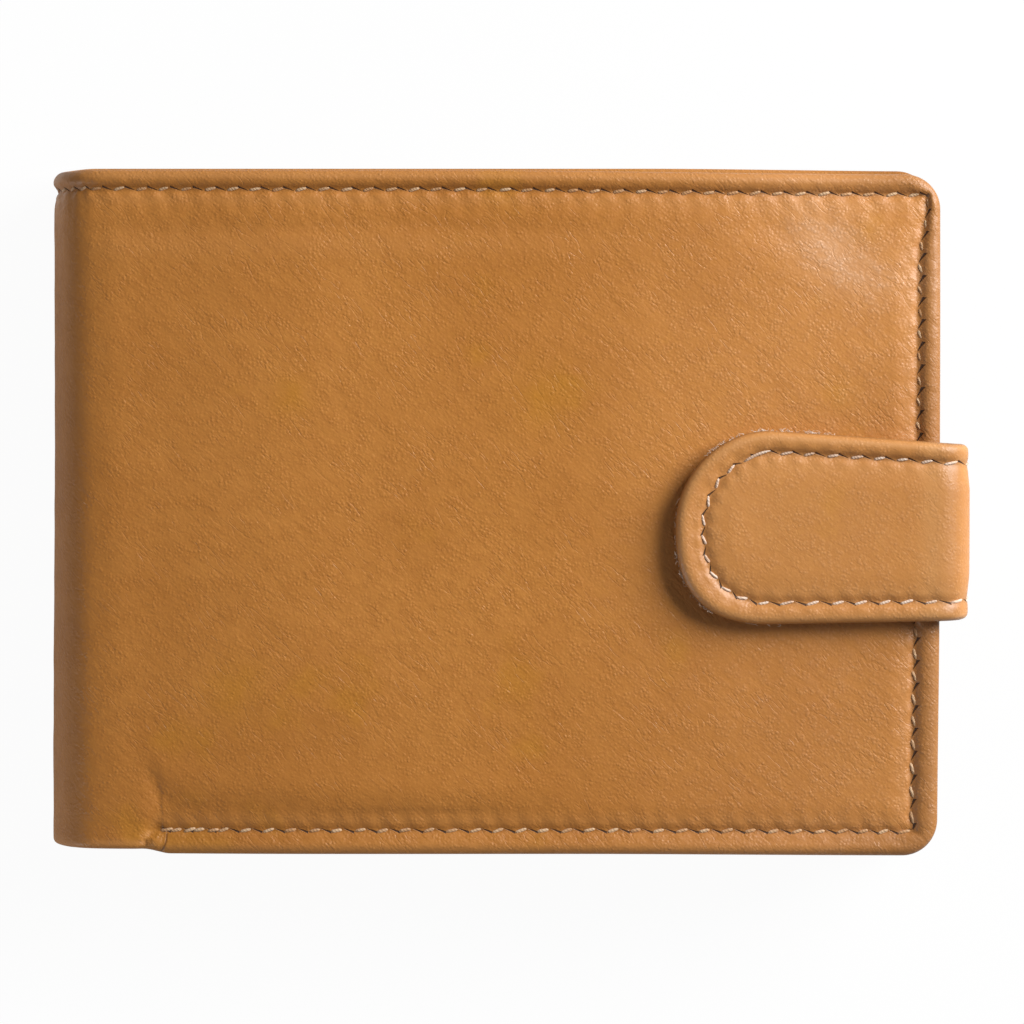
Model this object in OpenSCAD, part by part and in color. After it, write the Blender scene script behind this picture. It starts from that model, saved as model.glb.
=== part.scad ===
// Bifold wallet with a wrap-round closing strap, drawn closed and lying on its back cover.
// +X points to the open edge, +Y to the mouth of the note compartments, +Z out of the front cover.
// The origin is the centre of the back cover's outer face.

/* [Outer size] */
// Width of the closed wallet, from the spine to the open edge
body_w = 117; // [105:1:130]
// Height of the wallet, from the bottom edge to the note mouth
body_h = 90.4; // [80:0.2:105]
// Radius of the cover's corners at the open edge
corner_r = 5.2; // [3:0.1:9]
// Outer radius where the cover turns into the spine
spine_r = 5; // [4:0.1:7]

/* [Layers] */
// Thickness of the cover leather, turned edge included
cover_t = 1.3; // [1:0.1:2]
// Thickness of the lining cloth
cloth_t = 0.3; // [0.2:0.05:0.5]
// Free room in each note compartment
note_gap = 0.7; // [0.5:0.1:1.5]
// Thickness of the inner panel that carries the card slots
panel_t = 0.6; // [0.5:0.1:1]
// Thickness of one card slot's leather
slot_t = 1; // [0.8:0.1:1.4]
// Free room between the two halves when the wallet is shut
closing_gap = 1.4; // [0.8:0.1:4]

/* [Card slots] */
// Step from one slot's top edge to the next one's
slot_step = 10; // [6:0.5:13]
// Distance from the cover's top edge down to the inner panel's hem
panel_drop = 8; // [5:0.5:12]
// Distance from the inner panel's hem down to the first slot's edge
first_slot_drop = 8.2; // [4:0.2:12]
// Distance from the spine's outer face to the card slots
gutter = 13.9; // [12.5:0.1:16]
// Distance from the cover's edge in to the inner pieces
inner_margin = 1; // [0.6:0.1:2]

/* [Centre leaf] */
// Distance from the spine's outer face to the leaf's fold
leaf_fold_x = 10.5; // [9.4:0.1:12.2]
// Thickness of each leather layer of the leaf
leaf_t = 1; // [0.8:0.1:1.4]
// Thickness of the clear film
film_t = 0.3; // [0.2:0.05:0.5]
// Distance from the open edge to the leaf's free edge
leaf_short = 8.5; // [5:0.5:20]
// Distance from the cover's top edge down to the leaf's top edge
leaf_drop = 12; // [9:0.5:20]
// Width of the clear window
window_w = 76; // [50:1:80]
// Height of the clear window
window_h = 50; // [30:1:54]

/* [Strap] */
// How far the strap's round end reaches over the front cover
strap_reach = 34.9; // [28:0.1:45]
// Radius of the strap's round end
nose_r = 12.6; // [10:0.1:15]
// Width of the strap where it leaves the back seam and turns round the open edge
strap_w = 22; // [18:0.5:24]
// Height of the strap's centre line over the middle of the wallet
strap_y = -3; // [-12:0.1:12]
// Thickness of one of the strap's two leathers
strap_t = 1; // [0.8:0.1:1.4]
// How far the strap stands out past the open edge
strap_out = 3.8; // [3:0.1:6]
// Depth of the strap's end in the back seam
anchor_d = 6; // [4:0.5:10]

/* [Snap] */
// Radius of the stud's head
stud_r = 1.9; // [1.5:0.1:2.5]
// Outer radius of the socket ring
socket_r = 4.1; // [3.5:0.1:5]
// Distance from the strap's tip to the snap's centre
snap_back = 13.4; // [10:0.1:18]

/* [Seams] */
// Distance from the covers' edge to the stitch line
seam_inset = 2.6; // [2:0.1:4]
// Diameter of the sewing thread
thread_t = 0.35; // [0.2:0.05:0.6]
// Width of the channel that the thread lies in
channel_w = 0.8; // [0.7:0.05:1.2]

/* [Clearances] */
// Gap between leathers that move past each other
move_gap = 0.3; // [0.2:0.05:0.5]
// Gap between the centre leaf and the card slots under it
leaf_gap = 0.5; // [0.3:0.05:1]
// Gap round a part that sits in its hole or channel
fit_gap = 0.05; // [0.03:0.01:0.1]

/* [Hidden] */
$fn = 96;
eps = 0.01;
BACK_SLOTS = 4;
FRONT_SLOTS = 3;

// Edges of the closed wallet
x_spine = -body_w / 2;
x_open = body_w / 2;
y_bottom = -body_h / 2;
y_top = body_h / 2;

// Heights of the layers over the table; a front layer at depth d lies at body_t - d
z_lining = cover_t;
z_divider = z_lining + cloth_t + note_gap;
z_panel = z_divider + cloth_t + note_gap;
z_slots = z_panel + panel_t;
z_leaf = z_slots + BACK_SLOTS * slot_t + leaf_gap;
leaf_total = 3 * leaf_t + film_t;
body_t = z_leaf + leaf_total + closing_gap + FRONT_SLOTS * slot_t + z_slots;

// Plan of the inner pieces
x_flat = x_spine + spine_r + move_gap;
x_inner = x_open - inner_margin;
x_slots = x_spine + gutter;
y_inner_low = y_bottom + inner_margin;
y_hem = y_top - panel_drop;
inner_r = corner_r - inner_margin;

// Fold of the cover: each fold line keeps the length of the leather round its corner
fold_offset = (1 - PI / 4) * spine_r;

// Centre leaf
leaf_x = x_spine + leaf_fold_x;
leaf_fold_z = z_slots + panel_t + move_gap + panel_t / 6;
x_leaf_end = x_open - leaf_short;
y_leaf_low = y_inner_low + 2;
y_leaf_high = y_top - leaf_drop;
window_x = (leaf_x + x_leaf_end) / 2 + 1;
window_y = (y_leaf_low + y_leaf_high) / 2;
slot_side = 2;

// Strap
strap_total = 2 * strap_t;
z_tip = body_t + move_gap;
bend_z_low = cover_t + strap_out;
bend_z_high = z_tip + strap_total - strap_out;
nose_x = x_open - strap_reach + nose_r;
nose_y = strap_y + 0.7;
strap_edge = 2.7;
snap_x = x_open - strap_reach + snap_back;
snap_y = nose_y;

// Snap
stud_flange_r = stud_r + 1.5;
stud_flange_t = 0.5;
stud_sink = 0.4;
stud_neck_r = stud_r - 0.4;
stud_top = z_tip + strap_t - 0.2;
pin_r = 0.9;
pin_flange_r = stud_flange_r + 0.1;
pin_flange_t = 0.4;
socket_t = strap_t - 0.15;
socket_bore = stud_r + 0.25;
cap_r = socket_r + 0.5;
cap_t = 0.4;

// Channels that the threads lie in
channel_d = thread_t + fit_gap;
thread_side = (channel_w - thread_t) / 2;

TAN = "#B87B3E";
DARK_TAN = "#9A6230";
CLOTH = "#6E4A2C";
THREAD = "#CDB48A";
METAL = "#B79A5B";

// A rectangle from (x0, y0) to (x1, y1) with its two corners at x1 rounded
module open_rounded(x0, x1, y0, y1, r) {
    translate([x0, y0]) square([x1 - r - x0, y1 - y0]);
    translate([x1 - r - eps, y0 + r]) square([r + eps, y1 - y0 - 2 * r]);
    for (y = [y0 + r, y1 - r]) translate([x1 - r, y]) circle(r);
}

// A flat piece with two rounded corners, from z0 upwards
module plate(x0, x1, y0, y1, r, z0, t) {
    translate([0, 0, z0]) linear_extrude(t) open_rounded(x0, x1, y0, y1, r);
}

// Carries a profile drawn in X and Z along Y, from y0 to y1
module along_y(y0, y1) {
    translate([0, y1, 0]) rotate([90, 0, 0]) linear_extrude(y1 - y0) children();
}

// A quarter of a flat ring round (cx, cz); side_x and side_z pick the quarter
module quarter_ring(cx, cz, r_in, r_out, side_x, side_z) {
    intersection() {
        translate([cx, cz]) difference() {
            circle(r_out);
            circle(r_in);
        }
        translate([side_x < 0 ? cx - r_out : cx, side_z < 0 ? cz - r_out : cz]) square(r_out);
    }
}

// The places a front layer takes: the same plan as a back layer, turned over
module turned_over() {
    translate([0, 0, body_t]) mirror([0, 0, 1]) children();
}

// Where the cover's seam runs: along the mouth, the open edge and the bottom up to the card slots
module seam_band(x0, x_start, inset, w) {
    difference() {
        open_rounded(x0, x_open - inset, y_bottom + inset, y_top - inset, corner_r - inset);
        open_rounded(
            x0 - 1, x_open - inset - w, y_bottom + inset + w, y_top - inset - w, corner_r - inset - w
        );
        translate([x0 - 1, y_bottom - 1]) square([x_start - x0 + 1, body_h / 2]);
    }
}

module cover_channel() {
    translate([0, 0, -1])
        linear_extrude(channel_d + 1) seam_band(x_flat - 1, x_slots, seam_inset - channel_w / 2, channel_w);
}

module cover_thread() {
    translate([0, 0, fit_gap / 2]) linear_extrude(thread_t)
        seam_band(x_flat + fit_gap, x_slots + fit_gap, seam_inset - thread_t / 2, thread_t);
}

// Room in the back layers for the strap's sewn-in end
module anchor_room() {
    side = strap_w / 2 + move_gap;
    translate([x_open - anchor_d - move_gap, strap_y - side, cover_t])
        cube([anchor_d + 1, 2 * side, strap_total + move_gap]);
}

module lining_sheet() {
    plate(x_flat, x_inner, y_inner_low, y_top - inner_margin, inner_r, z_lining, cloth_t);
}

module divider_sheet() {
    plate(x_flat, x_inner, y_inner_low, y_top - inner_margin - 2, inner_r, z_divider, cloth_t);
}

module panel_sheet() {
    plate(x_flat, x_inner, y_inner_low, y_hem, inner_r, z_panel, panel_t);
}

// Card slot number k, counted from the deepest, whose edge is the highest
module card_slot(k) {
    top = y_hem - first_slot_drop - (k - 1) * slot_step;
    plate(x_slots, x_inner, y_inner_low, top, inner_r, z_slots + (k - 1) * slot_t, slot_t);
}

// ---- Back half ----

module back_cover() {
    color(TAN) difference() {
        plate(x_flat, x_open, y_bottom, y_top, corner_r, 0, cover_t);
        cover_channel();
    }
}

module back_lining() {
    color(CLOTH) difference() {
        lining_sheet();
        anchor_room();
    }
}

module back_note_divider() {
    color(CLOTH) difference() {
        divider_sheet();
        anchor_room();
    }
}

module back_inner_panel() {
    color(DARK_TAN) difference() {
        panel_sheet();
        anchor_room();
    }
}

module back_card_slot(k) {
    color(TAN) card_slot(k);
}

// The strip sewn to the inner panel that the leaf folds on
module leaf_tongue() {
    color(DARK_TAN) translate([x_flat + 1, y_leaf_low, z_slots])
        cube([x_slots - x_flat - 2.5, y_leaf_high - y_leaf_low, panel_t]);
}

module strap_anchor() {
    color(TAN) translate([x_open - anchor_d, strap_y - strap_w / 2, cover_t])
        cube([anchor_d - move_gap, strap_w, strap_total]);
}

module back_stitching() {
    color(THREAD) cover_thread();
}

// ---- Spine ----

// The spine's wall between two depths from its outer face, with its two round corners
module spine_wall(d_out, d_in) {
    translate([x_spine + d_out, spine_r]) square([d_in - d_out, body_t - 2 * spine_r]);
    quarter_ring(x_spine + spine_r, spine_r, spine_r - d_in, spine_r - d_out, -1, -1);
    quarter_ring(x_spine + spine_r, body_t - spine_r, spine_r - d_in, spine_r - d_out, -1, 1);
}

// A flat strip that stands on the inside of the spine
module spine_strip(depth, t, y0, y1) {
    translate([x_spine + depth, y0, spine_r]) cube([t, y1 - y0, body_t - 2 * spine_r]);
}

module spine_cover() {
    color(TAN) difference() {
        along_y(y_bottom, y_top) spine_wall(0, cover_t);
        along_y(y_top - seam_inset - channel_w / 2, y_top - seam_inset + channel_w / 2)
            spine_wall(-1, channel_d);
    }
}

module spine_lining() {
    color(CLOTH) spine_strip(cover_t, cloth_t, y_inner_low, y_top - inner_margin);
}

module spine_note_divider() {
    color(CLOTH) spine_strip(z_divider, cloth_t, y_inner_low, y_top - inner_margin - 2);
}

module spine_inner_panel() {
    color(DARK_TAN) spine_strip(z_panel, panel_t, y_inner_low, y_hem);
}

module spine_stitching() {
    color(THREAD) along_y(y_top - seam_inset - thread_t / 2, y_top - seam_inset + thread_t / 2)
        spine_wall(fit_gap / 2, fit_gap / 2 + thread_t);
}

// ---- Front half ----

module front_cover() {
    color(TAN) difference() {
        turned_over() difference() {
            plate(x_flat, x_open, y_bottom, y_top, corner_r, 0, cover_t);
            cover_channel();
        }
        translate([snap_x, snap_y, body_t - cover_t - 1]) cylinder(r = pin_r + fit_gap, h = cover_t + 2);
        translate([snap_x, snap_y, body_t - stud_sink])
            cylinder(r = stud_flange_r + fit_gap, h = stud_sink + 1);
    }
}

module front_lining() {
    color(CLOTH) difference() {
        turned_over() lining_sheet();
        translate([snap_x, snap_y, body_t - cover_t - 1]) cylinder(r = pin_flange_r + fit_gap, h = 2);
    }
}

module front_note_divider() {
    color(CLOTH) turned_over() divider_sheet();
}

module front_inner_panel() {
    color(DARK_TAN) turned_over() panel_sheet();
}

module front_card_slot(k) {
    color(TAN) turned_over() card_slot(k);
}

module front_stitching() {
    color(THREAD) turned_over() cover_thread();
}

// The stud: a flange let into the cover, a neck and a head, with a blind hole for the rivet pin
module snap_stud() {
    color(METAL) translate([snap_x, snap_y, 0]) difference() {
        union() {
            translate([0, 0, body_t - stud_sink]) cylinder(r = stud_flange_r, h = stud_flange_t);
            translate([0, 0, body_t - stud_sink]) cylinder(r = stud_neck_r, h = stud_top - body_t + stud_sink);
            translate([0, 0, stud_top - 0.6]) cylinder(r = stud_r, h = 0.6);
        }
        translate([0, 0, body_t - stud_sink - 1]) cylinder(r = pin_r + fit_gap, h = stud_sink + 1.5);
    }
}

// The rivet behind the cover that holds the stud
module snap_post() {
    color(METAL) translate([snap_x, snap_y, body_t - cover_t - pin_flange_t]) {
        cylinder(r = pin_flange_r, h = pin_flange_t);
        cylinder(r = pin_r, h = pin_flange_t + cover_t + 0.4);
    }
}

// ---- Centre leaf ----

leaf_panel_z = z_leaf + leaf_t;

// The leaf's middle leather, with the strip that comes down to the fold
module leaf_panel() {
    strip_z = leaf_fold_z - panel_t / 6;
    color(DARK_TAN) {
        plate(leaf_x - panel_t / 2, x_leaf_end, y_leaf_low, y_leaf_high, inner_r, leaf_panel_z, leaf_t);
        translate([leaf_x - panel_t / 2, y_leaf_low, strip_z])
            cube([panel_t, y_leaf_high - y_leaf_low, leaf_panel_z - strip_z + eps]);
    }
}

module leaf_card_slot() {
    color(TAN) plate(
        leaf_x + slot_side, x_leaf_end, y_leaf_low, y_leaf_high - first_slot_drop, inner_r, z_leaf, leaf_t
    );
}

module leaf_window() {
    color([0.85, 0.88, 0.9, 0.35])
        translate([window_x - window_w / 2 - 3, window_y - window_h / 2 - 3, leaf_panel_z + leaf_t])
            cube([window_w + 6, window_h + 6, film_t]);
}

module leaf_frame() {
    z0 = leaf_panel_z + leaf_t + film_t;
    color(TAN) difference() {
        plate(leaf_x + slot_side, x_leaf_end, y_leaf_low, y_leaf_high, inner_r, z0, leaf_t);
        translate([window_x - window_w / 2, window_y - window_h / 2, z0 - 1])
            cube([window_w, window_h, leaf_t + 2]);
        translate([0, 0, z0 + leaf_t - channel_d])
            linear_extrude(1) leaf_seam(seam_inset - channel_w / 2, channel_w);
    }
}

module leaf_seam(inset, w) {
    difference() {
        open_rounded(
            leaf_x + slot_side + inset, x_leaf_end - inset, y_leaf_low + inset, y_leaf_high - inset,
            inner_r - inset
        );
        open_rounded(
            leaf_x + slot_side + inset - 9, x_leaf_end - inset - w, y_leaf_low + inset + w,
            y_leaf_high - inset - w, inner_r - inset - w
        );
    }
}

module leaf_stitching() {
    z0 = leaf_panel_z + 2 * leaf_t + film_t - channel_d + fit_gap / 2;
    color(THREAD) translate([0, 0, z0])
        linear_extrude(thread_t) leaf_seam(seam_inset - thread_t / 2, thread_t);
}

// ---- Strap ----

// The strap's turn round the open edge, between two depths from its outer face
module wrap_wall(d_out, d_in) {
    translate([x_open + strap_out - d_in, bend_z_low])
        square([d_in - d_out, bend_z_high - bend_z_low]);
    quarter_ring(x_open, bend_z_low, strap_out - d_in, strap_out - d_out, 1, -1);
    quarter_ring(x_open, bend_z_high, strap_out - d_in, strap_out - d_out, 1, 1);
}

module wrap_seams(w) {
    for (side = [-1, 1]) {
        y = strap_y + side * (strap_w / 2 - strap_edge);
        along_y(y - w / 2, y + w / 2) children();
    }
}

module strap_wrap_outer() {
    color(TAN) difference() {
        along_y(strap_y - strap_w / 2, strap_y + strap_w / 2) wrap_wall(0, strap_t);
        wrap_seams(channel_w) wrap_wall(-1, channel_d);
    }
}

module strap_wrap_inner() {
    color(DARK_TAN) along_y(strap_y - strap_w / 2, strap_y + strap_w / 2)
        wrap_wall(strap_t, strap_total);
}

module strap_wrap_stitching() {
    color(THREAD) wrap_seams(thread_t) wrap_wall(fit_gap / 2, fit_gap / 2 + thread_t);
}

// The strap's end on the front cover, drawn in by an inset: a round nose on a tapering band
module tip_outline(inset, x_end) {
    translate([nose_x, nose_y]) circle(nose_r - inset);
    polygon([
        [nose_x, nose_y - nose_r + inset],
        [x_end, strap_y - strap_w / 2 + inset],
        [x_end, strap_y + strap_w / 2 - inset],
        [nose_x, nose_y + nose_r - inset]
    ]);
}

module tip_seam(w, x_end) {
    difference() {
        tip_outline(strap_edge - w / 2, x_end);
        tip_outline(strap_edge + w / 2, x_end + 1);
    }
}

module strap_tip_outer() {
    color(TAN) difference() {
        translate([0, 0, z_tip + strap_t]) linear_extrude(strap_t) tip_outline(0, x_open - move_gap);
        translate([0, 0, z_tip + strap_total - channel_d])
            linear_extrude(1) tip_seam(channel_w, x_open);
        translate([snap_x, snap_y, z_tip + strap_t - 1]) cylinder(r = cap_r + fit_gap, h = 1 + cap_t + fit_gap);
    }
}

module strap_tip_inner() {
    color(DARK_TAN) difference() {
        translate([0, 0, z_tip]) linear_extrude(strap_t) tip_outline(0, x_open - move_gap);
        translate([snap_x, snap_y, z_tip - 1]) cylinder(r = socket_r + fit_gap, h = strap_t + 2);
    }
}

module strap_tip_stitching() {
    color(THREAD) translate([0, 0, z_tip + strap_total - channel_d + fit_gap / 2])
        linear_extrude(thread_t) tip_seam(thread_t, x_open - move_gap);
}

module snap_socket() {
    color(METAL) translate([snap_x, snap_y, z_tip + strap_t - socket_t - fit_gap]) difference() {
        cylinder(r = socket_r, h = socket_t);
        translate([0, 0, -1]) cylinder(r = socket_bore, h = socket_t + 2);
    }
}

module snap_cap() {
    color(METAL) translate([snap_x, snap_y, z_tip + strap_t]) cylinder(r = cap_r, h = cap_t);
}

back_cover();
back_lining();
back_note_divider();
back_inner_panel();
back_card_slot(1);  // back_card_slot_1
back_card_slot(2);  // back_card_slot_2
back_card_slot(3);  // back_card_slot_3
back_card_slot(4);  // back_card_slot_4
leaf_tongue();
strap_anchor();
back_stitching();
spine_cover();
spine_lining();
spine_note_divider();
spine_inner_panel();
spine_stitching();
front_cover();
front_lining();
front_note_divider();
front_inner_panel();
front_card_slot(1);  // front_card_slot_1
front_card_slot(2);  // front_card_slot_2
front_card_slot(3);  // front_card_slot_3
front_stitching();
snap_stud();
snap_post();
leaf_panel();
leaf_card_slot();
leaf_window();
leaf_frame();
leaf_stitching();
strap_wrap_outer();
strap_wrap_inner();
strap_wrap_stitching();
strap_tip_outer();
strap_tip_inner();
strap_tip_stitching();
snap_socket();
snap_cap();
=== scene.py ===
"""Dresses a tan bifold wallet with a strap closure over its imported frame.

Lengths are in millimetres until a mesh is written, and the wallet lies shut on its back: +X is the open
edge, +Y the mouth of the note compartments and +Z the front.
"""

import logging
import math
from collections.abc import Callable
from dataclasses import dataclass, field
from enum import Enum

import bmesh
import bpy
import numpy as np
from mathutils import Matrix, Vector


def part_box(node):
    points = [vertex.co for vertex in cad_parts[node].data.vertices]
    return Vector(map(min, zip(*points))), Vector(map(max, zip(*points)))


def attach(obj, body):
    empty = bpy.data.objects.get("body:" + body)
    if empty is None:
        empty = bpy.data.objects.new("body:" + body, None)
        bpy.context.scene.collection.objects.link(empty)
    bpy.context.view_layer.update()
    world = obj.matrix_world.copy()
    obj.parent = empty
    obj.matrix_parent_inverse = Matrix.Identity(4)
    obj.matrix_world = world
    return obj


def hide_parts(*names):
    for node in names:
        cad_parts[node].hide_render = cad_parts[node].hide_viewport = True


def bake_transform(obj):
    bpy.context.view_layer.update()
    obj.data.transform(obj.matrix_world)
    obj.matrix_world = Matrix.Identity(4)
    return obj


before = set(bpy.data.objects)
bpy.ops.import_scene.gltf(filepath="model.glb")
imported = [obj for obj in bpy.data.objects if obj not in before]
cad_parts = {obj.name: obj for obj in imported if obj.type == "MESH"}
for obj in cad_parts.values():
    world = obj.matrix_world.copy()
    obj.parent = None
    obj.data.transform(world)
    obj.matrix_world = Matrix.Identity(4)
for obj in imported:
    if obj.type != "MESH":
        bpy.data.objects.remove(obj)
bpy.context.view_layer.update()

log = logging.getLogger("wallet")
MM = 0.001
# Distances from an edge at which a leather grid has its lines, so that edges and seams come out round
BORDER = np.array([
    0, 0.02, 0.08, 0.18, 0.32, 0.5, 0.7, 0.95, 1.2, 1.45, 1.7, 1.95,
    2.2, 2.45, 2.7, 2.95, 3.2, 3.5, 3.8, 4.15, 4.6, 5.1,
])
# A distance from the seam at which none of its marks show
NO_SEAM = 9.0
# Places within a stitch at which leather stands out most: just inside the seam, and further off
PUFF_NEAR, PUFF_FAR = 0.86, 0.4
# Colours of a needle slit's inside, which is painted shade, and of a painted sheen, a highlight put into
# the leather's colour
SLIT_SHADE_COLOUR = (0.055, 0.022, 0.009, 1)
PAINTED_SHEEN_COLOUR = (0.72, 0.47, 0.31, 1)

Piece, Material = bpy.types.Object, bpy.types.Material
Tree, Node, Socket = bpy.types.NodeTree, bpy.types.Node, bpy.types.NodeSocket
Array = np.ndarray
Masks = dict[str, Array]
Colour = tuple[float, float, float, float]
Profile = list[tuple[float, float]]
# Heights from s and y, and from those and the distance from the outline; new s and y from the old
Height = Callable[[Array, Array], Array]
Face = Callable[[Array, Array, Array], Array]
Warp = Callable[[Array, Array], tuple[Array, Array]]


# ---- Plain surface functions ----


def smooth(lo: float, hi: float, x: Array) -> Array:
    """Rises from 0 at lo to 1 at hi, or falls where hi is under lo, as 3 t squared less 2 t cubed."""
    t = np.clip((x - lo) / (hi - lo), 0, 1)
    return t * t * (3 - 2 * t)


def bell(x: Array, centre: float, width: float) -> Array:
    """A bump of height 1: e to the minus square of the distance from centre over width."""
    return np.exp(-(((x - centre) / width) ** 2))


def pucker(u: Array, place: float) -> Array:
    """A wave that peaks once a stitch: the cosine of a full turn times the stitch number u less place."""
    return np.cos(2 * math.pi * (u - place))


def ripple(x: Array, y: Array, size: float, seed: int) -> Array:
    """Soft random hills from -1 to 1: values on a square lattice, joined by fifth-degree smooth steps.

    Args:
        x: First coordinate.
        y: Second coordinate.
        size: Spacing of the lattice.
        seed: Picks the lattice's values.

    Returns:
        The height at each point.
    """
    n = 97
    values = np.random.default_rng(seed).uniform(-1, 1, (n, n))
    gx, gy = x / size, y / size
    i, j = np.floor(gx).astype(int), np.floor(gy).astype(int)
    fx, fy = (f * f * f * (f * (f * 6 - 15) + 10) for f in (gx - i, gy - j))
    near = values[i % n, j % n] * (1 - fx) + values[(i + 1) % n, j % n] * fx
    far = values[i % n, (j + 1) % n] * (1 - fx) + values[(i + 1) % n, (j + 1) % n] * fx
    return near * (1 - fy) + far * fy


def to_edge(d: Array, roll: float) -> Array:
    """Half an ellipse: the square root of 1 less the square of 1 less d over roll, and 1 past the roll."""
    return np.sqrt(1 - (1 - np.clip(d / roll, 0, 1)) ** 2)


def grid_lines(lo: float, hi: float, step: float, soft_lo: bool, soft_hi: bool) -> Array:
    """Grid lines from lo to hi: a fine border where an end is soft, and even steps between."""
    start = lo + BORDER if soft_lo else np.array([lo])
    end = hi - BORDER[::-1] if soft_hi else np.array([hi])
    count = max(1, math.ceil((end[0] - start[-1]) / step))
    return np.concatenate([start, np.linspace(start[-1], end[0], count + 1)[1:-1], end])


# ---- Frame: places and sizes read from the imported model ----


def low(node: str) -> Array:
    """A node's lowest corner in millimetres."""
    return np.array(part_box(node)[0]) / MM


def high(node: str) -> Array:
    """A node's highest corner in millimetres."""
    return np.array(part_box(node)[1]) / MM


@dataclass(frozen=True)
class Route:
    """A route in the XZ plane, made of straight runs and round bends.

    Each run is (length, turn): straight where turn is 0, else an arc that turns left by that many radians.
    """

    start: tuple[float, float]
    heading: float
    runs: tuple[tuple[float, float], ...]
    outward: int = 1

    def at(self, s: Array, h: Array) -> tuple[Array, Array]:
        """The point a distance s along the route and h off it, on its outward side.

        On an arc of radius r the heading grows by s / r, and the point is the arc's centre plus r times
        the direction square to the heading.

        Args:
            s: Distance along the route.
            h: Distance off it.

        Returns:
            The x and z of each point.
        """
        x, z, turned = np.zeros_like(s), np.zeros_like(s), np.zeros_like(s)
        (px, pz), heading, begun = self.start, self.heading, 0.0
        for k, (length, turn) in enumerate(self.runs):
            here = np.ones(s.shape, bool) if k == 0 else s >= begun
            t = s - begun
            if turn == 0:
                qx, qz, a = px + t * math.cos(heading), pz + t * math.sin(heading), heading + 0 * s
                px, pz = px + length * math.cos(heading), pz + length * math.sin(heading)
            else:
                r = length / turn
                a = heading + t / r
                qx = px + r * (np.sin(a) - math.sin(heading))
                qz = pz - r * (np.cos(a) - math.cos(heading))
                px += r * (math.sin(heading + turn) - math.sin(heading))
                pz -= r * (math.cos(heading + turn) - math.cos(heading))
            x, z, turned = (np.where(here, new, old) for new, old in ((qx, x), (qz, z), (a, turned)))
            heading, begun = heading + turn, begun + length
        return x - self.outward * h * np.sin(turned), z + self.outward * h * np.cos(turned)


@dataclass(frozen=True)
class Bed:
    """Lays flat patterns on a route: s along it, y across it, h off its outward side."""

    route: Route
    mirror_z: float | None = None

    def place(self, s: Array, y: Array, h: Array) -> Array:
        """The pattern's points in space, turned over at mirror_z where it is given."""
        x, z = self.route.at(s, h)
        if self.mirror_z is not None:
            z = 2 * self.mirror_z - z
        return np.stack([x, y + 0 * x, z], axis=-1)

    @property
    def flips(self) -> bool:
        """Whether a face drawn s first and y second points inwards."""
        return (self.route.outward < 0) != (self.mirror_z is not None)


@dataclass(frozen=True)
class Plan:
    """A flat piece's outline: a rectangle in s and y with its corners at s1 rounded, or cut off flat there.

    The grid's lines lie step_s and step_y apart, closer along the outline and in the dense stretch, and
    bend round the rounded corners within squares of side fan.
    """

    s0: float
    s1: float
    y0: float
    y1: float
    radius: float
    free_start: bool = True
    step_s: float = 0.8
    step_y: float = 0.8
    dense: tuple[float, float] | None = None
    free_end: bool = True
    dense_lines: int = 19
    fan: float = 14.0

    def grid(self) -> tuple[Array, Array, Array]:
        """The piece's grid and each point's distance from the outline.

        In the square at each rounded corner a point lies on a square ring at t, the larger of its two
        distances into the square. The ring is drawn as the outline's own inward offset, with a radius of
        the corner's radius less the distance in, and the point keeps its share of the ring's length.

        Returns:
            s, y and the distance from the outline, each as a two-way array.
        """
        s_line = grid_lines(self.s0, self.s1, self.step_s, self.free_start, self.free_end)
        if self.dense:
            outside = (s_line < self.dense[0] - 0.1) | (s_line > self.dense[1] + 0.1)
            close = np.linspace(*self.dense, self.dense_lines)
            s_line = np.sort(np.concatenate([s_line[outside], close]))
        y_line = grid_lines(self.y0, self.y1, self.step_y, True, True)
        s, y = np.meshgrid(s_line, y_line, indexing="ij")
        size = max(min(self.fan, (self.y1 - self.y0) / 2, self.s1 - self.s0), self.radius)
        for edge, sign in ((self.y1, 1), (self.y0, -1)) if self.free_end else ():
            a, b = s - (self.s1 - size), sign * (y - edge) + size
            inside = (a > 0) & (b > 0)
            t, q = np.maximum(np.maximum(a, b), 1e-6), np.minimum(a, b)
            r = np.clip(self.radius - (size - t), 1e-6, t)
            run = t - r
            along = q / t * (run + r * math.pi / 4)
            angle = np.maximum(along - run, 0) / r
            out = np.where(along <= run, t, run + r * np.cos(angle))
            side = np.where(along <= run, along, run + r * np.sin(angle))
            s = np.where(inside, self.s1 - size + np.where(a >= b, out, side), s)
            y = np.where(inside, edge + sign * (np.where(a >= b, side, out) - size), y)
        return s, y, self.inset(s, y)

    def inset(self, s: Array, y: Array) -> Array:
        """Distance in from the outline: the radius less the distance to the corners' inner rectangle."""
        centre, half = (self.y0 + self.y1) / 2, (self.y1 - self.y0) / 2
        if not self.free_end:
            return half - np.abs(y - centre) + 0 * s
        qs, qy = s - (self.s1 - self.radius), np.abs(y - centre) - (half - self.radius)
        beyond = np.hypot(np.maximum(qs, 0), np.maximum(qy, 0)) + np.minimum(np.maximum(qs, qy), 0)
        d = self.radius - beyond
        return np.minimum(d, s - self.s0) if self.free_start else d


# ---- Meshes ----


def linked(name: str, data: bpy.types.ID) -> Piece:
    """An object on a mesh, lamp or camera, put in the scene."""
    made = bpy.data.objects.new(name, data)
    bpy.context.scene.collection.objects.link(made)
    return made


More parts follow.
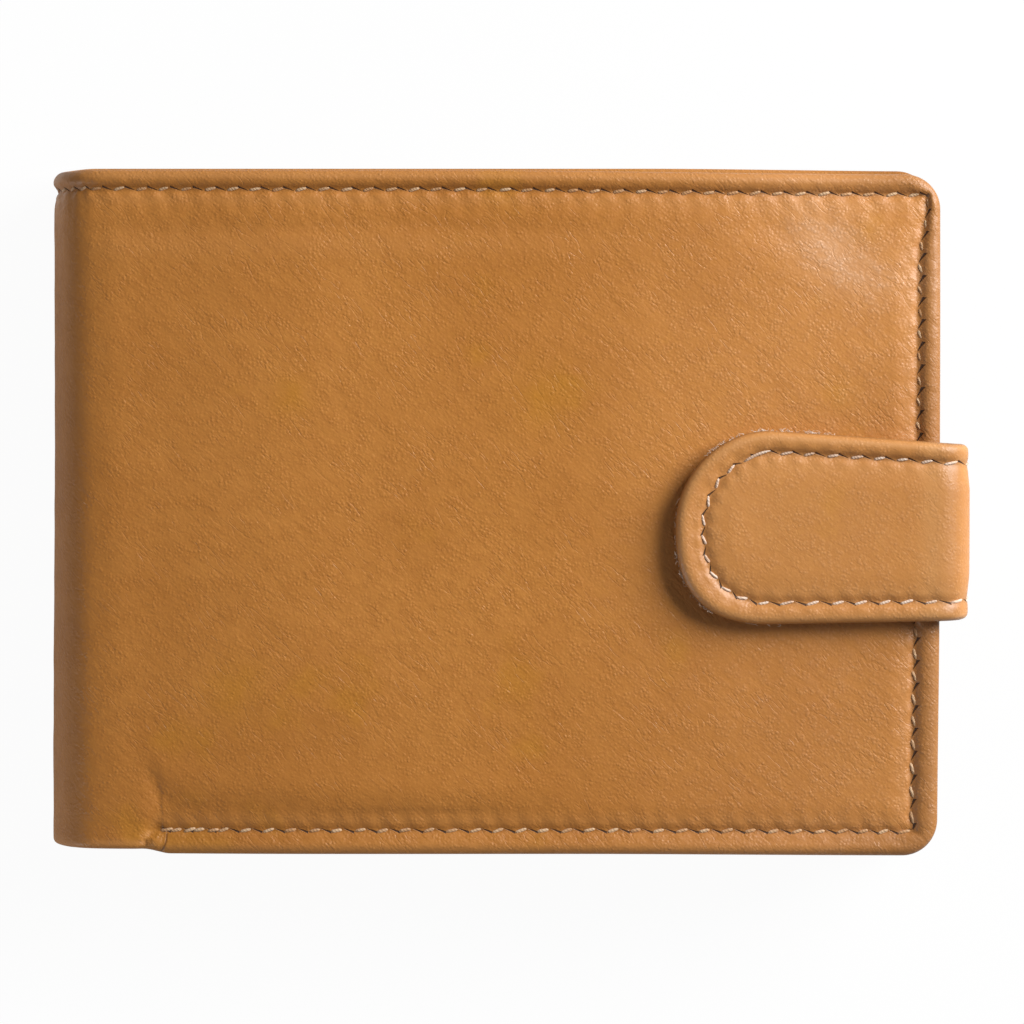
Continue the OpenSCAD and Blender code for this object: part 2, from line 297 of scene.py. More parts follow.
def mesh_object(
    name: str,
    points: Array,
    faces: list[Array],
    masks: Masks | None = None,
    cuts: list[Array] | None = None,
) -> Piece:
    """Makes a smooth-shaded object from points in millimetres.

    Args:
        name: The piece's name.
        points: One row per point.
        faces: Arrays of faces, each with one row per face and as many columns as the face has corners.
        masks: Float attributes, one value per point.
        cuts: Numbers of the points round each flat cut, whose edges are shaded sharp.

    Returns:
        The object, linked to the scene.
    """
    mesh = bpy.data.meshes.new(name)
    mesh.vertices.add(len(points))
    mesh.vertices.foreach_set("co", (np.asarray(points, float) * MM).ravel())
    sizes = np.concatenate([np.full(len(f), f.shape[1]) for f in faces if len(f)])
    corners = np.concatenate([np.asarray(f).ravel() for f in faces if len(f)])
    mesh.loops.add(len(corners))
    mesh.loops.foreach_set("vertex_index", corners.astype(np.int32))
    mesh.polygons.add(len(sizes))
    starts = np.concatenate([[0], np.cumsum(sizes)[:-1]])
    mesh.polygons.foreach_set("loop_start", starts.astype(np.int32))
    mesh.update(calc_edges=True)
    mesh.validate()
    mesh.polygons.foreach_set("use_smooth", np.ones(len(mesh.polygons), bool))
    for label, values in (masks or {}).items():
        kept = mesh.attributes.new(label, "FLOAT", "POINT")
        kept.data.foreach_set("value", np.asarray(values, np.float32))
    for cut in cuts or []:
        ends = np.empty(2 * len(mesh.edges), np.int32)
        mesh.edges.foreach_get("vertices", ends)
        sharp = np.isin(ends, cut).reshape(-1, 2).all(axis=1)
        marks = mesh.attributes.get("sharp_edge") or mesh.attributes.new("sharp_edge", "BOOLEAN", "EDGE")
        known = np.empty(len(mesh.edges), bool)
        marks.data.foreach_get("value", known)
        marks.data.foreach_set("value", known | sharp)
    return linked(name, mesh)


def capped(rows: Array) -> list[Array]:
    """Quads whose two ends have come to a point, as quads and triangles without repeated corners."""
    twins = rows == np.roll(rows, -1, axis=1)
    whole = ~twins.any(axis=1)
    points = [row[~twin][None] for row, twin in zip(rows[~whole], twins[~whole])]
    return [rows[whole], *points]


def quads(index: Array, flip: bool) -> Array:
    """The quads of a two-way array of point numbers, turned the other way where flip is true."""
    a, b, c, d = index[:-1, :-1], index[1:, :-1], index[1:, 1:], index[:-1, 1:]
    rows = np.stack([a, d, c, b] if flip else [a, b, c, d], axis=-1)
    return rows.reshape(-1, 4)


def shell(
    name: str,
    bed: Bed,
    plan: Plan,
    top: Face,
    bottom: Face,
    roll: float,
    masks: Callable[[Array, Array, Array], Masks] | None = None,
    warp: Warp | None = None,
) -> Piece:
    """A closed leather or cloth piece: two faces that meet in an edge rolled over as a half ellipse.

    Within roll of the outline each face leaves the middle height by to_edge's share, so that both reach it
    on the outline itself.

    Args:
        name: The piece's name.
        bed: What the pattern is laid on.
        plan: The outline. Where its start isn't free, the two faces end in a flat cut there.
        top: Outer face's height from s, y and the distance from the outline.
        bottom: Inner face's height from the same.
        roll: Width of the rolled edge.
        masks: Float attributes of the outer face from the same three.
        warp: New s and y from the old, for edges that aren't straight.

    Returns:
        The object.
    """
    s, y, d = plan.grid()
    high_h, low_h = top(s, y, d), bottom(s, y, d)
    middle = (high_h + low_h) / 2
    share = to_edge(d, roll)
    laid = (s, y) if warp is None else warp(s, y)
    upper = bed.place(*laid, middle + (high_h - middle) * share)
    under = bed.place(*laid, middle + (low_h - middle) * share)
    count = s.size
    index = np.arange(count).reshape(s.shape)
    shared = np.zeros(s.shape, bool)
    shared[:, 0] = shared[:, -1] = True
    shared[0, :] |= plan.free_start
    shared[-1, :] |= plan.free_end
    below = np.where(shared, index, count - 1 + np.cumsum(~shared).reshape(s.shape))
    faces = [quads(index, bed.flips), quads(below, not bed.flips)]
    cuts = []
    for end, free in ((0, plan.free_start), (-1, plan.free_end)):
        if not free:
            cuts.append(np.concatenate([index[end], below[end]]))
            faces += capped(quads(np.stack([below[end], index[end]]), bed.flips != (end == -1)))
    points = np.concatenate([upper.reshape(-1, 3), under[~shared]])
    values = {}
    for label, value in (masks(s, y, d) if masks else {}).items():
        value = value + 0 * s
        lower = -NO_SEAM - d if label == "stitch_v" else value
        values[label] = np.concatenate([value.ravel(), lower[~shared]])
    return mesh_object(name, points, faces, values, cuts)


def level(height: float) -> Face:
    """A flat face at one height."""
    return lambda s, y, d: height + 0 * s


def mouth_masks(plan: Plan, depth: float) -> Callable[[Array, Array, Array], Masks]:
    """A card slot's worn edges, and painted shade of a given depth in the crease under its mouth."""
    return lambda s, y, d: {
        "wear": 0.8 * smooth(0.9, 0.1, d),
        "crease": depth * bell(plan.y1 - y, 1.9, 0.3),
    }


def lathe(
    name: str,
    centre: tuple[float, float],
    profile: Profile,
    closed: bool,
    turn: int = 48,
    ease: float = 0.12,
) -> Piece:
    """Turns a profile of (radius, z) round an upright axis, with every corner eased by two cuts.

    Args:
        name: The piece's name.
        centre: The axis's x and y.
        profile: Points from the inside bottom outwards; a radius of 0 closes at a pole.
        closed: Whether the last point joins the first, as on a ring.
        turn: How many points lie on each ring.
        ease: Share of a side that is cut off at each corner.

    Returns:
        The object.
    """
    pts = np.array(profile, float)
    ahead = np.roll(pts, -1, axis=0) if closed else pts[1:]
    here = pts if closed else pts[:-1]
    cuts = [here * (1 - t) + ahead * t for t in (ease, 1 - ease)]
    line = np.stack(cuts, axis=1).reshape(-1, 2)
    if not closed:
        line = np.concatenate([pts[:1], line, pts[-1:]])
    angle = np.arange(turn) / turn * 2 * math.pi
    ring = np.stack([
        centre[0] + line[:, :1] * np.cos(angle), centre[1] + line[:, :1] * np.sin(angle),
        line[:, 1:] + 0 * angle,
    ], axis=-1)
    index = np.arange(ring.shape[0] * turn).reshape(ring.shape[:2])
    index = np.concatenate([index, index[:, :1]], axis=1)
    if closed:
        index = np.concatenate([index, index[:1]], axis=0)
    piece = mesh_object(name, ring.reshape(-1, 3), [quads(index, True)])
    weld(piece)
    return piece


def weld(piece: Piece) -> None:
    """Merges doubled points and turns every face outwards."""
    work = bmesh.new()
    work.from_mesh(piece.data)
    bmesh.ops.remove_doubles(work, verts=work.verts, dist=1e-7)
    bmesh.ops.recalc_face_normals(work, faces=work.faces)
    work.to_mesh(piece.data)
    work.free()
    piece.data.polygons.foreach_set("use_smooth", np.ones(len(piece.data.polygons), bool))


def strands(
    name: str, line: Array, away: Array, radius: Array, sides: int = 8, wide: float = 1.1, tall: float = 0.8
) -> Piece:
    """Closed tubes, one for each row of a three-way array of points.

    A tube's section is an ellipse: cosine and sine of an angle, times wide across and tall along away.

    Args:
        name: The piece's name.
        line: Middle points: strand, place along it, axis.
        away: A direction at each point that isn't along the strand.
        radius: Radius at each point.
        sides: Corners of the tube's section.
        wide: Half the section's width in radiuses.
        tall: Half its height.

    Returns:
        The object.
    """
    ahead = np.gradient(line, axis=1)
    ahead /= np.linalg.norm(ahead, axis=-1, keepdims=True)
    side = np.cross(ahead, away)
    side /= np.linalg.norm(side, axis=-1, keepdims=True)
    up = np.cross(side, ahead)
    angle = (np.arange(sides) / sides * 2 * math.pi)[None, None, :, None]
    spoke = np.cos(angle) * side[:, :, None] * wide + np.sin(angle) * up[:, :, None] * tall
    tube = line[:, :, None] + radius[..., None, None] * spoke
    index = np.arange(tube[..., 0].size).reshape(tube.shape[:3])
    index = np.concatenate([index, index[:, :, :1]], axis=2)
    walls = np.concatenate([quads(block, False) for block in index])
    ends = [index[:, 0, :sides], index[:, -1, sides - 1 :: -1][:, :sides]]
    piece = mesh_object(name, tube.reshape(-1, 3), [walls, *ends])
    weld(piece)
    return piece


@dataclass(frozen=True)
class Thread:
    """A lockstitch seam's visible stitches."""

    radius: float = 0.2
    first: float = 0.12
    last: float = 0.63
    lean: float = 0.22
    lift: float = 0.15
    sunk: float = 0.06
    rings: int = 8

    def stitches(
        self,
        name: str,
        bed: Bed,
        seam: Warp,
        numbers: Array,
        height: Height,
        seed: int,
        warp: Warp | None = None,
        outward: int = 1,
        stretch: Array | float = 0.0,
    ) -> Piece:
        """Small bowed strands, one for each stitch.

        Along a stitch, t runs from 0 to 1. The strand goes from the inner side of the seam line to the
        outer, its middle stands up by 4 t (1 - t) times lift, and its radius falls off at both ends as the
        square root of 1 less the sixth power of 2 t - 1.

        Args:
            name: The piece's name.
            bed: What the seam lies on.
            seam: s and y from the place along the seam, counted in stitches, and the distance in from it.
            numbers: The stitches' numbers.
            height: The leather's height from s and y.
            seed: Makes the stitches differ a little.
            warp: New s and y from the old, as the leather has it.
            outward: -1 where the stitches lie on the bed's inner side; height then counts inwards.
            stretch: How much sooner each stitch starts, in stitches, where one is longer than the rest.

        Returns:
            The object.
        """
        jitter = np.random.default_rng(seed).uniform(-1, 1, (4, len(numbers), 1))
        t = np.linspace(0.02, 0.98, self.rings)[None, :]
        sooner = (stretch + 0 * numbers)[:, None]
        run = self.last - self.first + 0.04 * jitter[1]
        u = numbers[:, None] + self.first + 0.03 * jitter[0] + run * t
        u = u - sooner * (1 - t)
        v = self.lean * (1 - 2 * t) * (1 + 0.3 * jitter[2]) + 0.05 * jitter[3]
        s, y = seam(u, v)
        h = outward * (height(s, y) + self.lift * 4 * t * (1 - t) - self.sunk)
        laid = (s, y) if warp is None else warp(s, y)
        line = bed.place(*laid, h)
        away = bed.place(*laid, h + outward) - line
        radius = self.radius * np.sqrt(1 - (2 * t - 1) ** 6) * (1 + 0.08 * jitter[0])
        return strands(name, line, away, radius)


# ---- Finishes ----


@dataclass(frozen=True)
class Graph:
    """A node tree with short ways to add and join nodes."""

    tree: Tree

    def node(
        self, kind: str, inputs: dict[str | int, object] | None = None, **settings: object
    ) -> Node:
        """Adds a node, with its settings, and its inputs set to values or joined to sockets."""
        made = self.tree.nodes.new(kind)
        for key, value in settings.items():
            setattr(made, key, value)
        for key, value in (inputs or {}).items():
            if isinstance(value, Socket):
                self.join(value, made.inputs[key])
            else:
                made.inputs[key].default_value = value
        return made

    def join(self, out: Socket, into: Socket) -> None:
        """Joins one node's output to another's input."""
        self.tree.links.new(out, into)

    def math(self, operation: str, *values: object, clamp: bool = False) -> Socket:
        """A Math node's result."""
        made = self.node("ShaderNodeMath", dict(enumerate(values)), operation=operation, use_clamp=clamp)
        return made.outputs[0]

    def mix(self, factor: object, a: object, b: object, blend: str = "MIX") -> Socket:
        """A colour mix's result."""
        made = self.node("ShaderNodeMix", {0: factor, 6: a, 7: b}, data_type="RGBA", blend_type=blend)
        return made.outputs[2]

    def step(
        self, value: object, lo: float, hi: float, out_lo: float = 0, out_hi: float = 1
    ) -> Socket:
        """A smooth step of a value from one range to another."""
        ranges = {0: value, 1: lo, 2: hi, 3: out_lo, 4: out_hi}
        return self.node("ShaderNodeMapRange", ranges, interpolation_type="SMOOTHSTEP").outputs[0]

    def attribute(self, label: str) -> Socket:
        """A float attribute of the piece."""
        return self.node("ShaderNodeAttribute", attribute_name=label).outputs["Fac"]

    def noise(self, place: object, scale: float, detail: float, rough: float = 0.5) -> Socket:
        """A noise texture's value."""
        inputs = {"Vector": place, "Scale": scale, "Detail": detail, "Roughness": rough}
        return self.node("ShaderNodeTexNoise", inputs).outputs[0]

    def stretched(self, place: object, degrees: float, size: tuple[float, float, float]) -> Socket:
        """Coordinates turned by an angle about z and divided by a size along each axis."""
        inputs = {"Vector": place, "Rotation": (0, 0, math.radians(degrees)), "Scale": size}
        return self.node("ShaderNodeMapping", inputs, vector_type="TEXTURE").outputs[0]

    def bump(self, height: object, depth: float, shader: Node) -> None:
        """Raises a shader's surface by a height times a depth in millimetres."""
        made = self.node("ShaderNodeBump", {"Height": height, "Distance": depth * MM, "Strength": 1.0})
        self.tree.links.new(made.outputs[0], shader.inputs["Normal"])


GroupParts = tuple[Tree, Graph, Node, Node]


def new_group(name: str, inputs: dict[str, str], outputs: dict[str, str]) -> GroupParts:
    """Starts a node group.

    Args:
        name: The group's name.
        inputs: Socket names and kinds: Float, Color or Vector.
        outputs: The same for the outputs.

    Returns:
        The group, a graph on it, its input node and its output node.
    """
    group = bpy.data.node_groups.new(name, "ShaderNodeTree")
    for sockets, way in ((inputs, "INPUT"), (outputs, "OUTPUT")):
        for label, kind in sockets.items():
            group.interface.new_socket(label, in_out=way, socket_type=f"NodeSocket{kind}")
    graph = Graph(group)
    return group, graph, graph.node("NodeGroupInput"), graph.node("NodeGroupOutput")


def grain_group() -> Tree:
    """Leather grain: soft, uneven pebbles with fine pits, and folds and thin wrinkles that lean one way.

    The thin wrinkles are dips where a stretched noise passes its middle value, shown only in patches.

    Returns:
        The group. Place is in millimetres, Size is a cell's width and Wrinkle the share of long wrinkles.
    """
    group, g, given, out = new_group(
        "leather_grain",
        {"Place": "Vector", "Size": "Float", "Wrinkle": "Float"},
        {"Height": "Float", "Pores": "Float"},
    )
    spot, wrinkle = given.outputs["Place"], given.outputs["Wrinkle"]
    scaled = g.node("ShaderNodeVectorMath", {0: spot}, operation="DIVIDE")
    size3 = g.node("ShaderNodeCombineXYZ", {k: given.outputs["Size"] for k in range(3)})
    g.join(size3.outputs[0], scaled.inputs[1])
    place = scaled.outputs[0]
    shaken = g.node("ShaderNodeTexNoise", {"Vector": place, "Scale": 0.6, "Detail": 2.0})
    moved = g.node("ShaderNodeMix", {0: 0.22, 4: place, 5: shaken.outputs["Color"]}, data_type="VECTOR")
    inputs = {"Vector": moved.outputs[1], "Scale": 1.0, "Smoothness": 0.55}
    cells = g.node("ShaderNodeTexVoronoi", inputs, feature="SMOOTH_F1")
    domes = g.step(cells.outputs["Distance"], 0.62, 0.12)
    rough = g.noise(place, 1.3, 4.0, 0.62)
    patches = g.step(g.noise(place, 0.16, 2.0), 0.34, 0.66, 0.35, 1.0)
    folds = g.step(g.noise(g.stretched(spot, -38, (3.4, 0.9, 1.6)), 1.0, 4.0, 0.6), 0.36, 0.64)
    drawn = g.noise(g.stretched(spot, -47, (4.0, 1.25, 2.4)), 1.0, 2.5, 0.55)
    level = g.math("ABSOLUTE", g.math("SUBTRACT", drawn, 0.5))
    shown = g.step(g.noise(spot, 0.22, 2.0), 0.36, 0.64)
    lines = g.math("MULTIPLY", g.step(level, 0.045, 0.0), g.math("MULTIPLY", shown, wrinkle))
    pebbles = g.math("ADD", g.math("MULTIPLY", domes, 0.8), g.math("MULTIPLY", rough, 0.8))
    fine = g.math("MULTIPLY", pebbles, patches)
    broad = g.math("ADD", fine, g.math("MULTIPLY", folds, wrinkle))
    g.join(g.math("SUBTRACT", broad, g.math("MULTIPLY", lines, 1.15)), out.inputs["Height"])
    pits = g.math("MULTIPLY", g.math("SUBTRACT", 1.0, domes), patches)
    g.join(pits, out.inputs["Pores"])
    return group


def wander_group() -> Tree:
    """Dyed leather's uneven colour: wide soft clouds, small mottles and a warmer patch here and there.

    Returns:
        The group. Place is in millimetres.
    """
    group, g, given, out = new_group(
        "dye_wander",
        {"Place": "Vector", "Base": "Color", "Deep": "Color", "Warm": "Color", "Amount": "Float"},
        {"Color": "Color"},
    )
    place, amount = given.outputs["Place"], given.outputs["Amount"]
    clouds = g.noise(place, 0.035, 3.0, 0.55)
    mottles = g.noise(place, 0.45, 4.0, 0.6)
    specks = g.noise(place, 2.6, 2.0, 0.6)
    deep = g.math("MULTIPLY", g.step(clouds, 0.35, 0.7), amount)
    colour = g.mix(deep, given.outputs["Base"], given.outputs["Deep"])
    spotted = g.math("MULTIPLY", g.step(mottles, 0.42, 0.72, 0, 0.55), amount)
    colour = g.mix(spotted, colour, given.outputs["Deep"])
    warm = g.math("MULTIPLY", g.step(g.noise(place, 0.075, 2.0, 0.5), 0.6, 0.74), 0.45)
    colour = g.mix(warm, colour, given.outputs["Warm"])
    colour = g.mix(g.step(specks, 0.3, 0.7, 0.0, 0.14), colour, (1, 1, 1, 1), "SOFT_LIGHT")
    g.join(colour, out.inputs["Color"])
    return group


def slit_group() -> Tree:
    """The slits that the needle leaves between stitches, from the piece's seam attributes; their dark
    colour is painted shade inside the cut.

    Along the seam p runs from 0 at a stitch's end to the next one's start. The slit's middle crosses the
    seam line from outside to inside as p grows, and its half width falls off in a straight line.

    Returns:
        The group, whose Slit is 1 in a slit and whose DentShade is 1 on the seam line, where the leather
        gets painted shade.
    """
    group, g, _, out = new_group("needle_slits", {}, {"Slit": "Float", "DentShade": "Float"})
    u, v = g.attribute("stitch_u"), g.attribute("stitch_v")
    share = g.math("FRACT", g.math("ADD", u, 0.38))
    middle = g.math("ADD", g.math("MULTIPLY", share, 1.15), -0.27)
    half = g.math("MAXIMUM", g.math("MULTIPLY_ADD", share, -0.3, 0.15), 0.0)
    off = g.math("ABSOLUTE", g.math("SUBTRACT", v, middle))
    inside = g.step(g.math("SUBTRACT", off, half), 0.06, -0.06)
    length = g.step(share, 0.50, 0.38)
    g.join(g.math("MULTIPLY", inside, length), out.inputs["Slit"])
    g.join(g.step(g.math("ABSOLUTE", v), 0.75, 0.1), out.inputs["DentShade"])
    return group


def weave_group() -> Tree:
    """Plain weave: two sets of round threads that cross, raised in turn.

    Returns:
        The group. Place is in millimetres and Pitch is the spacing of the threads.
    """
    inputs = {"Place": "Vector", "Pitch": "Float"}
    group, g, given, out = new_group("plain_weave", inputs, {"Height": "Float"})
    axes = g.node("ShaderNodeSeparateXYZ", {0: given.outputs["Place"]})
    waves = []
    for label in ("X", "Y"):
        turn = g.math("DIVIDE", g.math("MULTIPLY", axes.outputs[label], math.pi), given.outputs["Pitch"])
        waves.append(g.math("SINE", turn))
    over = g.math("MULTIPLY", waves[0], waves[1])
    ridges = g.math("ADD", g.math("ABSOLUTE", waves[0]), g.math("ABSOLUTE", waves[1]))
    height = g.math("ADD", g.math("MULTIPLY", over, 0.5), g.math("MULTIPLY", ridges, 0.4))
    g.join(height, out.inputs["Height"])
    return group


@dataclass(frozen=True)
class Groups:
    """The node groups that several finishes share, each built once."""

    grain: Tree = field(default_factory=grain_group)
    wander: Tree = field(default_factory=wander_group)
    slits: Tree = field(default_factory=slit_group)
    weave: Tree = field(default_factory=weave_group)


SurfaceParts = tuple[Material, Graph, Node, Socket]


def surface(name: str, **values: object) -> SurfaceParts:
    """Starts a material on a Principled BSDF.

    Args:
        name: The material's name.
        **values: Plain socket values, with underscores for the spaces in their names.

    Returns:
        The material, a graph on it, its shader and the piece's coordinates in millimetres.
    """
    material = bpy.data.materials.new(name)
    material.use_nodes = True
    graph = Graph(material.node_tree)
    shader = material.node_tree.nodes["Principled BSDF"]
    for key, value in values.items():
        shader.inputs[key.replace("_", " ")].default_value = value
    spot = graph.node("ShaderNodeTexCoord").outputs["Object"]
    to_mm = (1 / MM, 1 / MM, 1 / MM)
    place = graph.node("ShaderNodeMapping", {"Vector": spot, "Scale": to_mm}).outputs[0]
    return material, graph, shader, place


def shaded(colour: Colour, share: float) -> Colour:
    """A colour with its red, green and blue times a share, at most 1."""
    return tuple(min(1.0, c * share) for c in colour[:3]) + (1.0,)


@dataclass(frozen=True)
class Leather:
    """A dyed, lightly finished leather."""

    name: str
    base: Colour
    deep: Colour
    warm: Colour
    rim: Colour
    cell: float = 0.34
    relief: float = 0.040
    wrinkle: float = 0.42
    amount: float = 0.5
    roughness: float = 0.42

    def material(self, groups: Groups) -> Material:
        """The leather's material: grain, uneven dye, stains, worn rims with a painted highlight band,
        painted shade in creases and along the seam, needle slits with painted shade inside, and a painted
        sheen.
        """
        made, g, shader, place = surface(self.name, Specular_IOR_Level=0.45)
        cells = {"Place": place, "Size": self.cell, "Wrinkle": self.wrinkle}
        grain = g.node("ShaderNodeGroup", cells, node_tree=groups.grain)
        dye = {"Place": place, "Base": self.base, "Deep": self.deep, "Warm": self.warm}
        dye["Amount"] = self.amount
        wander = g.node("ShaderNodeGroup", dye, node_tree=groups.wander)
        slits = g.node("ShaderNodeGroup", node_tree=groups.slits)
        wear, crease = g.attribute("wear"), g.attribute("crease")
        colour = g.mix(g.math("MULTIPLY", grain.outputs["Pores"], 0.28), wander.outputs["Color"], self.deep)
        # Worn rims are lighter; on the front this mask also holds a painted highlight band under the hem
        colour = g.mix(g.math("MULTIPLY", wear, 0.5, clamp=True), colour, self.rim)
        # Painted shade: creases, holes, folds, rolled edges and the spine's curve are darkened in the
        # colour
        dark = shaded(self.deep, 0.3)
        colour = g.mix(g.math("MULTIPLY", crease, 0.75, clamp=True), colour, dark)
        # Painted shade along the seam line
        colour = g.mix(g.math("MULTIPLY", slits.outputs["DentShade"], 0.16), colour, dark)
        colour = g.mix(g.math("MULTIPLY", g.attribute("stain"), 0.6, clamp=True), colour, self.warm)
        # Painted sheen: a pale highlight mixed into the colour, strongest on the grain's domes
        sheen_on_domes = g.step(grain.outputs["Height"], 0.2, 1.5, 0.45, 1.0)
        sheen_paint = g.math("MULTIPLY", g.attribute("polish"), sheen_on_domes, clamp=True)
        colour = g.mix(g.math("MULTIPLY", sheen_paint, 0.55), colour, PAINTED_SHEEN_COLOUR)
        # Needle slits: the cut is in the bump below, and its near-black colour is painted shade inside it
        colour = g.mix(slits.outputs["Slit"], colour, SLIT_SHADE_COLOUR)
        g.join(colour, shader.inputs["Base Color"])
        shine = g.math("MULTIPLY_ADD", g.noise(place, 0.9, 3.0, 0.6), 0.22, self.roughness - 0.11)
        roughness = g.math("MULTIPLY_ADD", slits.outputs["Slit"], 0.3, shine)
        g.join(roughness, shader.inputs["Roughness"])
        raised = g.math("SUBTRACT", grain.outputs["Height"], g.math("MULTIPLY", slits.outputs["Slit"], 3.0))
        g.bump(raised, self.relief, shader)
        return made


@dataclass(frozen=True)
class Cloth:
    """A woven lining."""

    name: str
    base: Colour
    pitch: float = 0.32
    relief: float = 0.06

    def material(self, groups: Groups) -> Material:
        """The lining's material: plain weave whose raised threads have a painted highlight, with an uneven
        dye.
        """
        plain = {"Roughness": 0.8, "Sheen_Weight": 0.35, "Specular_IOR_Level": 0.25}
        made, g, shader, place = surface(self.name, **plain)
        weave = g.node("ShaderNodeGroup", {"Place": place, "Pitch": self.pitch}, node_tree=groups.weave)
        # Painted highlight: the raised threads are 1.7 times brighter than the rest
        pale = shaded(self.base, 1.7)
        colour = g.mix(g.step(weave.outputs["Height"], 0.1, 0.9), self.base, pale)
        colour = g.mix(g.step(g.noise(place, 0.2, 3.0), 0.35, 0.75, 0, 0.35), colour, self.base)
        g.join(colour, shader.inputs["Base Color"])
        g.bump(weave.outputs["Height"], self.relief, shader)
        return made


@dataclass(frozen=True)
class Yarn:
    """Sewing thread."""

    name: str
    pale: Colour
    tan: Colour
    relief: float = 0.025

    def material(self, groups: Groups) -> Material:
        """The thread's material: twisted plies with painted shade between them, and stitches that took up
        more or less of the dye.
        """
        plain = {"Roughness": 0.55, "Sheen_Weight": 0.3, "Specular_IOR_Level": 0.35}
        made, g, shader, place = surface(self.name, **plain)
        colour = g.mix(g.step(g.noise(place, 0.33, 2.0), 0.38, 0.62), self.tan, self.pale)
        twist = {"Vector": place, "Scale": 1.3, "Distortion": 1.5, "Detail": 1.0}
        waves = g.node("ShaderNodeTexWave", twist, wave_type="BANDS", bands_direction="DIAGONAL")
        plies = waves.outputs[0]
        # Painted shade in the grooves between the plies
        colour = g.mix(g.math("MULTIPLY", g.math("SUBTRACT", 1.0, plies), 0.2), colour, self.tan)
        g.join(colour, shader.inputs["Base Color"])
        g.bump(plies, self.relief, shader)
        return made


@dataclass(frozen=True)
class Metal:
    """Plated brass with a little tarnish."""

    name: str
    bright: Colour
    dull: Colour
    relief: float = 0.01

    def material(self, groups: Groups) -> Material:
        """The snap's material: brushed plating with dull blotches and fine scratches."""
        made, g, shader, place = surface(self.name, Metallic=1.0)
        blotch = g.step(g.noise(place, 1.1, 4.0, 0.6), 0.42, 0.66)
        g.join(g.mix(blotch, self.bright, self.dull), shader.inputs["Base Color"])
        g.join(g.math("MULTIPLY_ADD", blotch, 0.25, 0.22), shader.inputs["Roughness"])
        drawn = g.node("ShaderNodeMapping", {"Vector": place, "Scale": (1, 9, 1)}).outputs[0]
        g.bump(g.noise(drawn, 3.0, 2.0), self.relief, shader)
        return made


@dataclass(frozen=True)
class Film:
    """Clear flexible film."""

    name: str
    relief: float = 0.2

    def material(self, groups: Groups) -> Material:
        """The window's material: clear, with faint smears in its gloss."""
        made, g, shader, place = surface(
            self.name, Base_Color=(0.96, 0.97, 0.98, 1), Transmission_Weight=1.0, IOR=1.3, Metallic=0.0
        )
        smears = g.step(g.noise(place, 0.12, 4.0, 0.6), 0.4, 0.7, 0.03, 0.14)
        g.join(smears, shader.inputs["Roughness"])
        g.bump(g.noise(place, 0.09, 2.0), self.relief, shader)
        return made


class Finish(Enum):
    """The wallet's finishes."""

    COVER = Leather(
        "cover_leather", (0.520, 0.204, 0.038, 1), (0.390, 0.137, 0.018, 1), (0.50, 0.205, 0.012, 1),
        (0.62, 0.29, 0.095, 1),
    )
    STRAP = Leather(
        "strap_leather", (0.525, 0.213, 0.046, 1), (0.425, 0.157, 0.026, 1), (0.53, 0.215, 0.018, 1),
        (0.62, 0.30, 0.10, 1), wrinkle=0.3, amount=0.4, cell=0.34, relief=0.03,
    )
    INNER = Leather(
        "inner_leather", (0.450, 0.170, 0.038, 1), (0.335, 0.115, 0.020, 1), (0.46, 0.18, 0.022, 1),
        (0.56, 0.26, 0.085, 1), cell=0.36, relief=0.034, wrinkle=0.35,
    )
    LINING = Cloth("brown_lining", (0.085, 0.042, 0.02, 1))
    BEIGE = Yarn("beige_thread", (0.61, 0.41, 0.24, 1), (0.46, 0.24, 0.10, 1))
    CREAM = Yarn("cream_thread", (0.70, 0.56, 0.45, 1), (0.58, 0.39, 0.27, 1))
    SNAP = Metal("snap_plating", (0.62, 0.48, 0.27, 1), (0.38, 0.27, 0.14, 1))
    CLEAR = Film("clear_film")


class Wardrobe:
    """Builds each finish once and hands it out."""

    def __init__(self) -> None:
        """Builds every finish's material."""
        groups = Groups()
        self.materials = {finish: finish.value.material(groups) for finish in Finish}

    def dress(self, piece: Piece, finish: Finish, slot: str | None = None) -> Piece:
        """Gives a piece its finish, and logs the piece's name when a slot is given."""
        piece.data.materials.clear()
        piece.data.materials.append(self.materials[finish])
        if isinstance(finish.value, Leather) and "stitch_v" not in piece.data.attributes:
            far = piece.data.attributes.new("stitch_v", "FLOAT", "POINT")
            far.data.foreach_set("value", np.full(len(piece.data.vertices), NO_SEAM, np.float32))
        if slot:
            log.info("made %s", piece.name)
        return piece


# ---- Places shared by the parts ----


class Side(Enum):
    """The wallet's two halves."""

    BACK = "back"
    FRONT = "front"


@dataclass(frozen=True)
class Layout:
    """The wallet's main sizes, read from the frame, and its corner radii."""

    left: float
    right: float
    bottom: float
    top: float
    thick: float
    bend: float
    cover: float
    slots_left: float
    corner: float = 4.7
    inner_corner: float = 4.2

    @classmethod
    def read(cls) -> "Layout":
        """Reads the sizes from the covers, the spine, the lining and the card slots."""
        lowest, highest = low("front_cover"), high("front_cover")
        left = low("spine_cover")[0]
        return cls(
            left, highest[0], lowest[1], highest[1], highest[2], high("spine_cover")[0] - left,
            low("back_lining")[2], low("back_card_slot_1")[0],
        )

    @property
    def route(self) -> Route:
        """The cover's outer face, from the middle of the spine, round its bend and out to the open edge."""
        quarter = self.bend * math.pi / 2
        runs = ((self.rise, 0), (quarter, -math.pi / 2), (self.right - self.left - self.bend, 0))
        return Route((self.left, self.thick / 2), math.pi / 2, runs)

    @property
    def rise(self) -> float:
        """Length of the spine's flat part on each half."""
        return self.thick / 2 - self.bend

    def along(self, x: float) -> float:
        """Distance along the cover's route of a place x on its flat part."""
        return x - self.left - self.bend + self.rise + self.bend * math.pi / 2

    def across(self, s: Array) -> Array:
        """The inverse of along."""
        return s - self.along(0.0)


